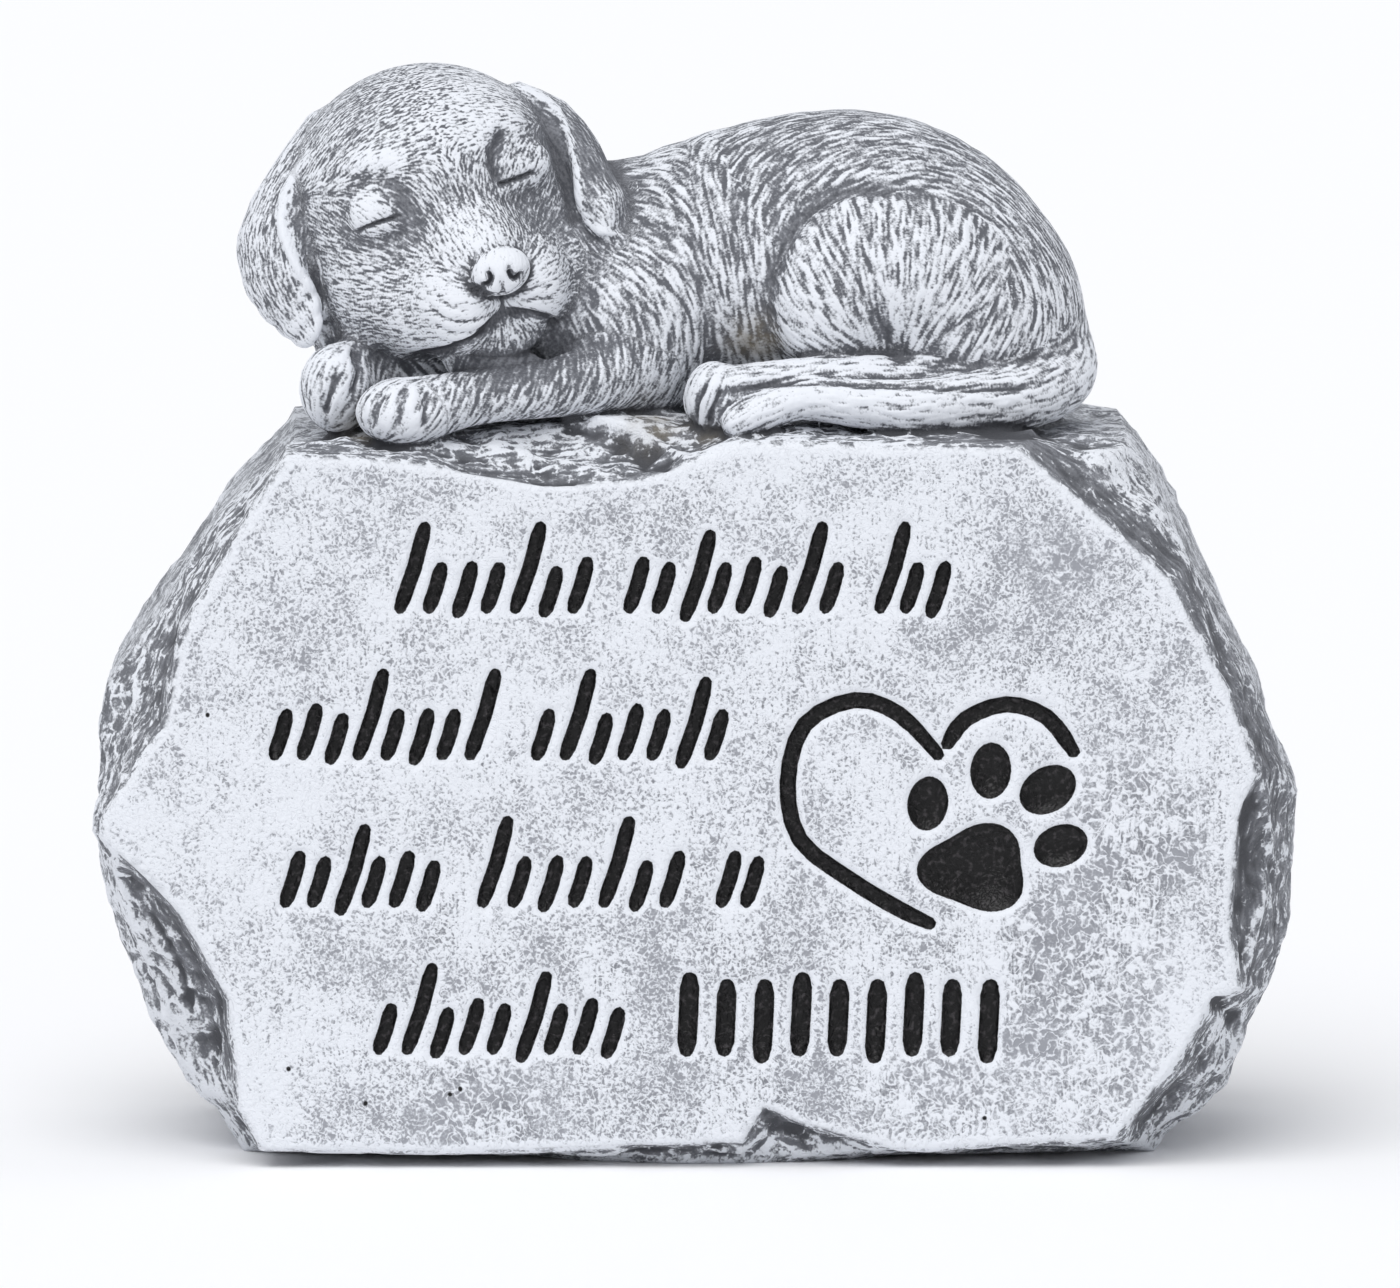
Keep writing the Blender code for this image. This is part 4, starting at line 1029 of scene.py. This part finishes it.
def buildStatue():
    item = copyOfSolid()
    fineSkin(item)
    print("fine skin:", len(item.data.vertices), "points")
    points, fur, way, carved, fineness = shapePuppy(item)
    mesh = item.data
    normals = skinOf(mesh)[1]
    edge = edgeDistance(points, fur)
    points, shade, calmBand = breakEdges(points, normals, fur, edge)
    setPoints(mesh, points * mm)
    onSlab = fur < 0.5
    way[onSlab] = brokenWay(points[onSlab], normals[onSlab], edge[onSlab])
    fineness[onSlab] = 0.8
    values = zones(points, fur, np.where(onSlab, shade, carved))
    for name, numbers in {**values, "rest": points * mm, "furWay": way, "fineness": fineness}.items():
        storeAttribute(mesh, name, numbers)
    noseArea = nearPlace(points - np.array(puppySetup["origin"]), puppySetup["nose"], 6)
    calm = 1 - np.clip(noseArea * 1.5 + np.abs(carved) * 0.8, 0, 1)
    chips = (1 - fur) * (1 - smoothStep(-1.8, -0.2, values["faceEdge"])) * smoothStep(0.3, 3, points[:, 2])
    striated = chips * striations(points, normals)
    storeAttribute(mesh, "striated", striated)
    relief = fur * calm * puppySetup["furDepth"] / np.maximum(fineness, 1) ** 3
    storeAttribute(mesh, "furRelief", (relief + meshSetup["striationDepth"] * striated) * mm)
    onFace = smoothStep(0, 1.5, values["faceEdge"])
    keepOff = smoothStep(0, 1.2, values["engraved"])
    storeAttribute(mesh, "faceRelief", onFace * keepOff * meshSetup["crackleDepth"] * mm)
    backPlain = smoothStep(37, 41, points[:, 1]) * smoothStep(0.6, 0.9, normals[:, 1])
    calmSides = 0.5 * smoothStep(-26, -8, points[:, 1])
    storeAttribute(mesh, "plainBack", np.maximum(backPlain, calmSides) * (1 - fur))
    chips *= (1 - 0.9 * backPlain) * (1 - 0.85 * calmBand)
    storeAttribute(mesh, "chipRelief", chips * meshSetup["chipDepth"] * mm)
    addRelief(item)
    print("relief done")
    plain = 0.35 + 0.65 * smoothStep(-20, 10, points[:, 1]) - 0.35 * fur
    plain += 0.25 * onFace * (1 - fur)
    borders = np.minimum(np.abs(values["engraved"]), np.abs(values["faceEdge"]))
    plain *= 0.2 + 0.8 * smoothStep(0.8, 1.8, borders)
    plain = np.where(points[:, 2] < 0.5, 1.0, plain)
    storeHollows(item)
    fewerFaces(item, plain)
    dropSpecks(item)
    print("statue:", len(item.data.polygons), "triangles")
    return item

# cast stone, painted mid grey and given a dry brush of bluish white: it leaves white on
# what stands up, and the grey shows in hollows; some shade, and a sheen on the black, are painted in too

stoneFinish = {
    "white": "#e8ebf1",
    "faceGrey": "#9a9ca3",  # the face's hollows still have a thin film of white
    "grey": "#8c8e94",
    "lowGrey": "#63656b",
    "darkGrey": "#3d3e43",
    "black": "#080708",
    "blackSheen": "#3e3b3d",
    # painted sheen: lighter streaks mixed into the black paint in place of its glossy highlights
    "stain": "#8a7f68",
    "roughness": 0.82,
    "glossyRoughness": 0.36,  # the black paint
    "ior": 1.48,
    "specular": 0.3,
    "bumpStrength": 0.6,
    "bumpDepth": 0.16,  # mm
    "pinhole": 0.55,  # mm, radius
    "scratch": (0.5, 9, 24),  # mm across and along it, and how many degrees it leans
}
# the paint's noises: size in mm, detail and roughness
paintNoises = {"grit": (0.45, 2.0, 0.5), "patches": (4.5, 3.0, 0.6), "clouds": (15, 2.0, 0.5),
               # the last noise here lays out the painted sheen on the black paint
               "breaks": (2.2, 2.0, 0.5), "dirt": (3, 3.0, 0.5), "wear": (1.1, 3.0, 0.5)}
# how white each zone is, over the one before: a start, the weights of its patterns, those of
# the patterns that swing round a half, and from which sum to which: low, high, least and most
whiteness = {
    "chips": (0.15, {"broken": 0.55, "hollowNear": -1.6, "hollowWide": -0.3, "shade": -0.8, "drawn": 1},
              {"brushed": 1.5, "grit": 1.1, "patches": 0.95, "clouds": 0.6}, (0.12, 0.72, 0.04, 1.0)),
    "plainBack": (0.42, {"worms": 0.15}, {"tufts": 0.25, "grit": 1.1, "patches": 1.2, "clouds": 1.0},
                  (0.05, 0.95, 0.1, 0.85)),
    "onFace": (0.24, {"worms": 0.62, "borders": 0.5, "scratched": 0.3},
               {"brushed": 2.0, "clouds": 0.9, "patches": 0.8, "grit": 1.3}, (0.0, 0.74)),
    "fur": (-0.58, {"tufts": 1, "brushed": 1, "hollowWide": -0.8, "shade": -0.9}, {"grit": 0.9},
            (0.13, 0.78)),
}
# ranges that the other patterns are read by: the pattern, then low, high, and what they become
paintRanges = {
    "onFace": ("faceEdge", -0.3, 0.6), "rim": ("faceEdge", 2.2, 0.4), "beside": ("engraved", 1.5, 0.5),
    "gaps": ("breaks", 0.38, 0.60), "scratchBeds": ("clouds", 0.5, 0.62), "marks": ("scratches", 0.42, 0.66),
    "offFur": ("fur", 0, 1, 1.0, 0.6), "pressed": ("shade", 0.5, 1.0),
    "film": ("clouds", 0.62, 0.42, 0.45, 1.0), "offFace": ("onFace", 0, 1, 1.0, 0.15),
    # one range on the next line sets where the black paint gets its painted sheen
    "inGroove": ("engraved", 1.4, 0.9), "paintedSheen": ("wear", 0.5, 0.75), "dirty": ("dirt", 0.35, 0.65, 0.3, 0.8),
}


def paintPatterns(tree, add):
    # what the skin tells the paint, and the patterns in it, by name
    here = {name: add("Attribute", {"attribute_name": name}, output="Fac") for name in (
        "fur", "faceEdge", "engraved", "hollowNear", "hollowWide", "shade", "fineness", "coarseFace",
        "brushed", "striated", "plainBack", "stain")}
    place, way = [add("Attribute", {"attribute_name": name}, output="Vector") for name in ("rest", "furWay")]
    here["rest"] = place
    here["tufts"] = streaks(tree, place, way, here["fineness"])
    here["worms"] = crackle(tree, place, here["coarseFace"])
    here["rims"] = brokenStone(tree, place)[1]
    for name, (size, detail, roughness) in paintNoises.items():
        here[name] = add("TexNoise", {}, {"Vector": place, "Scale": 1 / (size * mm),
                                          "Detail": detail, "Roughness": roughness})
    # long fine scratches, which lean like a brush stroke
    wide, long, lean = stoneFinish["scratch"]
    leaning = add("Mapping", {}, {"Vector": place, "Rotation": (0, math.radians(lean), 0),
                                  "Scale": (1 / (wide * mm), 1, 1 / (long * mm))})
    here["scratches"] = add("TexNoise", {}, {"Vector": leaning, "Scale": 1.0, "Detail": 1.0})
    for name, (pattern, *levels) in paintRanges.items():
        here[name] = add("MapRange", soft, [here[pattern], *levels])
    here["striking"] = add("Math", "ADD", [here["striated"], 0.35])
    here["fibres"] = added(tree, 0, [], [(here["tufts"], 0.9)])
    here["stone"] = add("Math", "SUBTRACT", [1.0, here["fur"]])
    here["lumps"] = added(tree, 0, [], [(here["patches"], -0.7)])
    for name, first, second in (
            ("scratched", "marks", "scratchBeds"), ("broken", "rims", "gaps"),
            ("drawn", "fibres", "striking"), ("stoneLumps", "lumps", "stone"), ("carved", "pressed", "fur"),
            ("thinWhite", "onFace", "film"), ("painted", "inGroove", "onFace"),
            ("stained", "stain", "dirty")):
        here[name] = add("Math", "MULTIPLY", [here[first], here[second]])
    here["borders"] = add("Math", "MAXIMUM", [here["rim"], here["beside"]])
    return here


def layered(tree, here, start, layers, swings={}):
    return added(tree, start, *([(here[name], weight) for name, weight in some.items()]
                                for some in (layers, swings)))


def greyNodes(tree, add, here):
    # the grey under the white, darkest in the deepest places and where shade is painted
    deepAndShade = layered(tree, here, 0, {"hollowWide": 1, "hollowNear": 1.2, "shade": 0.8, "stoneLumps": 1})
    deepAndShade = add("Math", "MULTIPLY", [add("MapRange", soft, [deepAndShade, 0.05, 0.95]), here["offFur"]])
    deepAndShade = add("Math", "MAXIMUM", [deepAndShade, here["carved"]])
    deepAndShade = add("Math", "MULTIPLY", [deepAndShade, here["offFace"]])
    mottle = layered(tree, here, 0.5, {}, {"grit": 1.2, "tufts": 0.8, "patches": 0.7})
    grey = linear(stoneFinish["lowGrey"])
    mottle = add("MapRange", soft, [mottle, 0.15, 0.85])
    for share, tone in ((mottle, "grey"), (here["thinWhite"], "faceGrey"), (deepAndShade, "darkGrey")):
        grey = add("Mix", inColour, {0: share, 6: grey, 7: linear(stoneFinish[tone])}, 2)
    return grey


def blackNodes(tree, add, here):
    # glossy black in the engraving, with a painted sheen in its colour, and black dots where air
    # bubbles left pinholes in the face, painted shade in place of holes: where, and its colour
    level = add("SeparateXYZ", {}, [add("TexCoord", output="Object")], "Y")
    here["sunk"] = add("Math", "DIVIDE", [add("Math", "SUBTRACT", [level, faceY]), mm])
    paint = add("MapRange", soft, [layered(tree, here, 0, {"sunk": 1}, {"grit": 0.35}), 0.36, 0.56])
    paint = add("Math", "MULTIPLY", [paint, here["painted"]])
    # black dots for the pinholes, painted shade in place of holes
    for x, z in pinholes:
        away = add("VectorMath", "DISTANCE", [here["rest"], (x * mm, faceY, z * mm)], "Value")
        hole = add("MapRange", soft, [away, stoneFinish["pinhole"] * mm, 0.3 * mm])
        paint = add("Math", "MAXIMUM", [paint, hole])
    # the black is lightened in streaks, a painted sheen
    return paint, add("Mix", inColour, {0: here["paintedSheen"], 6: linear(stoneFinish["black"]),
                                        7: linear(stoneFinish["blackSheen"])}, 2)


def statuePaint():
    material = bpy.data.materials.new("dryBrushedStoneAndPaintedShade")
    material.use_nodes = True
    tree = material.node_tree
    shader = tree.nodes["Principled BSDF"]
    add = partial(addNode, tree)
    here = paintPatterns(tree, add)
    white = None
    for zone, (start, layers, swings, levels) in whiteness.items():
        own = add("MapRange", soft, [layered(tree, here, start, layers, swings), *levels])
        white = own if white is None else add("Mix", {}, {0: here[zone], 2: white, 3: own})
    paint, black = blackNodes(tree, add, here)
    colour = greyNodes(tree, add, here)
    for share, over in ((white, linear(stoneFinish["white"])),
                        (here["stained"], linear(stoneFinish["stain"])), (paint, black)):
        colour = add("Mix", inColour, {0: share, 6: colour, 7: over}, 2)
    tree.links.new(colour, shader.inputs["Base Color"])
    gloss = [paint, 0, 1, stoneFinish["roughness"], stoneFinish["glossyRoughness"]]
    tree.links.new(add("MapRange", soft, gloss), shader.inputs["Roughness"])
    shader.inputs["IOR"].default_value = stoneFinish["ior"]
    shader.inputs["Specular IOR Level"].default_value = stoneFinish["specular"]
    # what is too fine for the mesh
    here["fine"] = add("Mix", {}, {0: here["fur"], 2: here["worms"], 3: here["tufts"]})
    height = layered(tree, here, 0, {"fine": 1, "grit": 0.35})
    bump = add("Bump", {}, {"Strength": stoneFinish["bumpStrength"],
                            "Distance": stoneFinish["bumpDepth"] * mm, "Height": height})
    tree.links.new(bump, shader.inputs["Normal"])
    return material


def main():
    addCamera()
    addLights()
    addFloor()
    statue = buildStatue()
    statue.data.materials.clear()
    statue.data.materials.append(statuePaint())
    for face in statue.data.polygons:
        face.material_index = 0
        face.use_smooth = True
    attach(statue, "root")
    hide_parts(nodeName)
    print("finish done")


main()
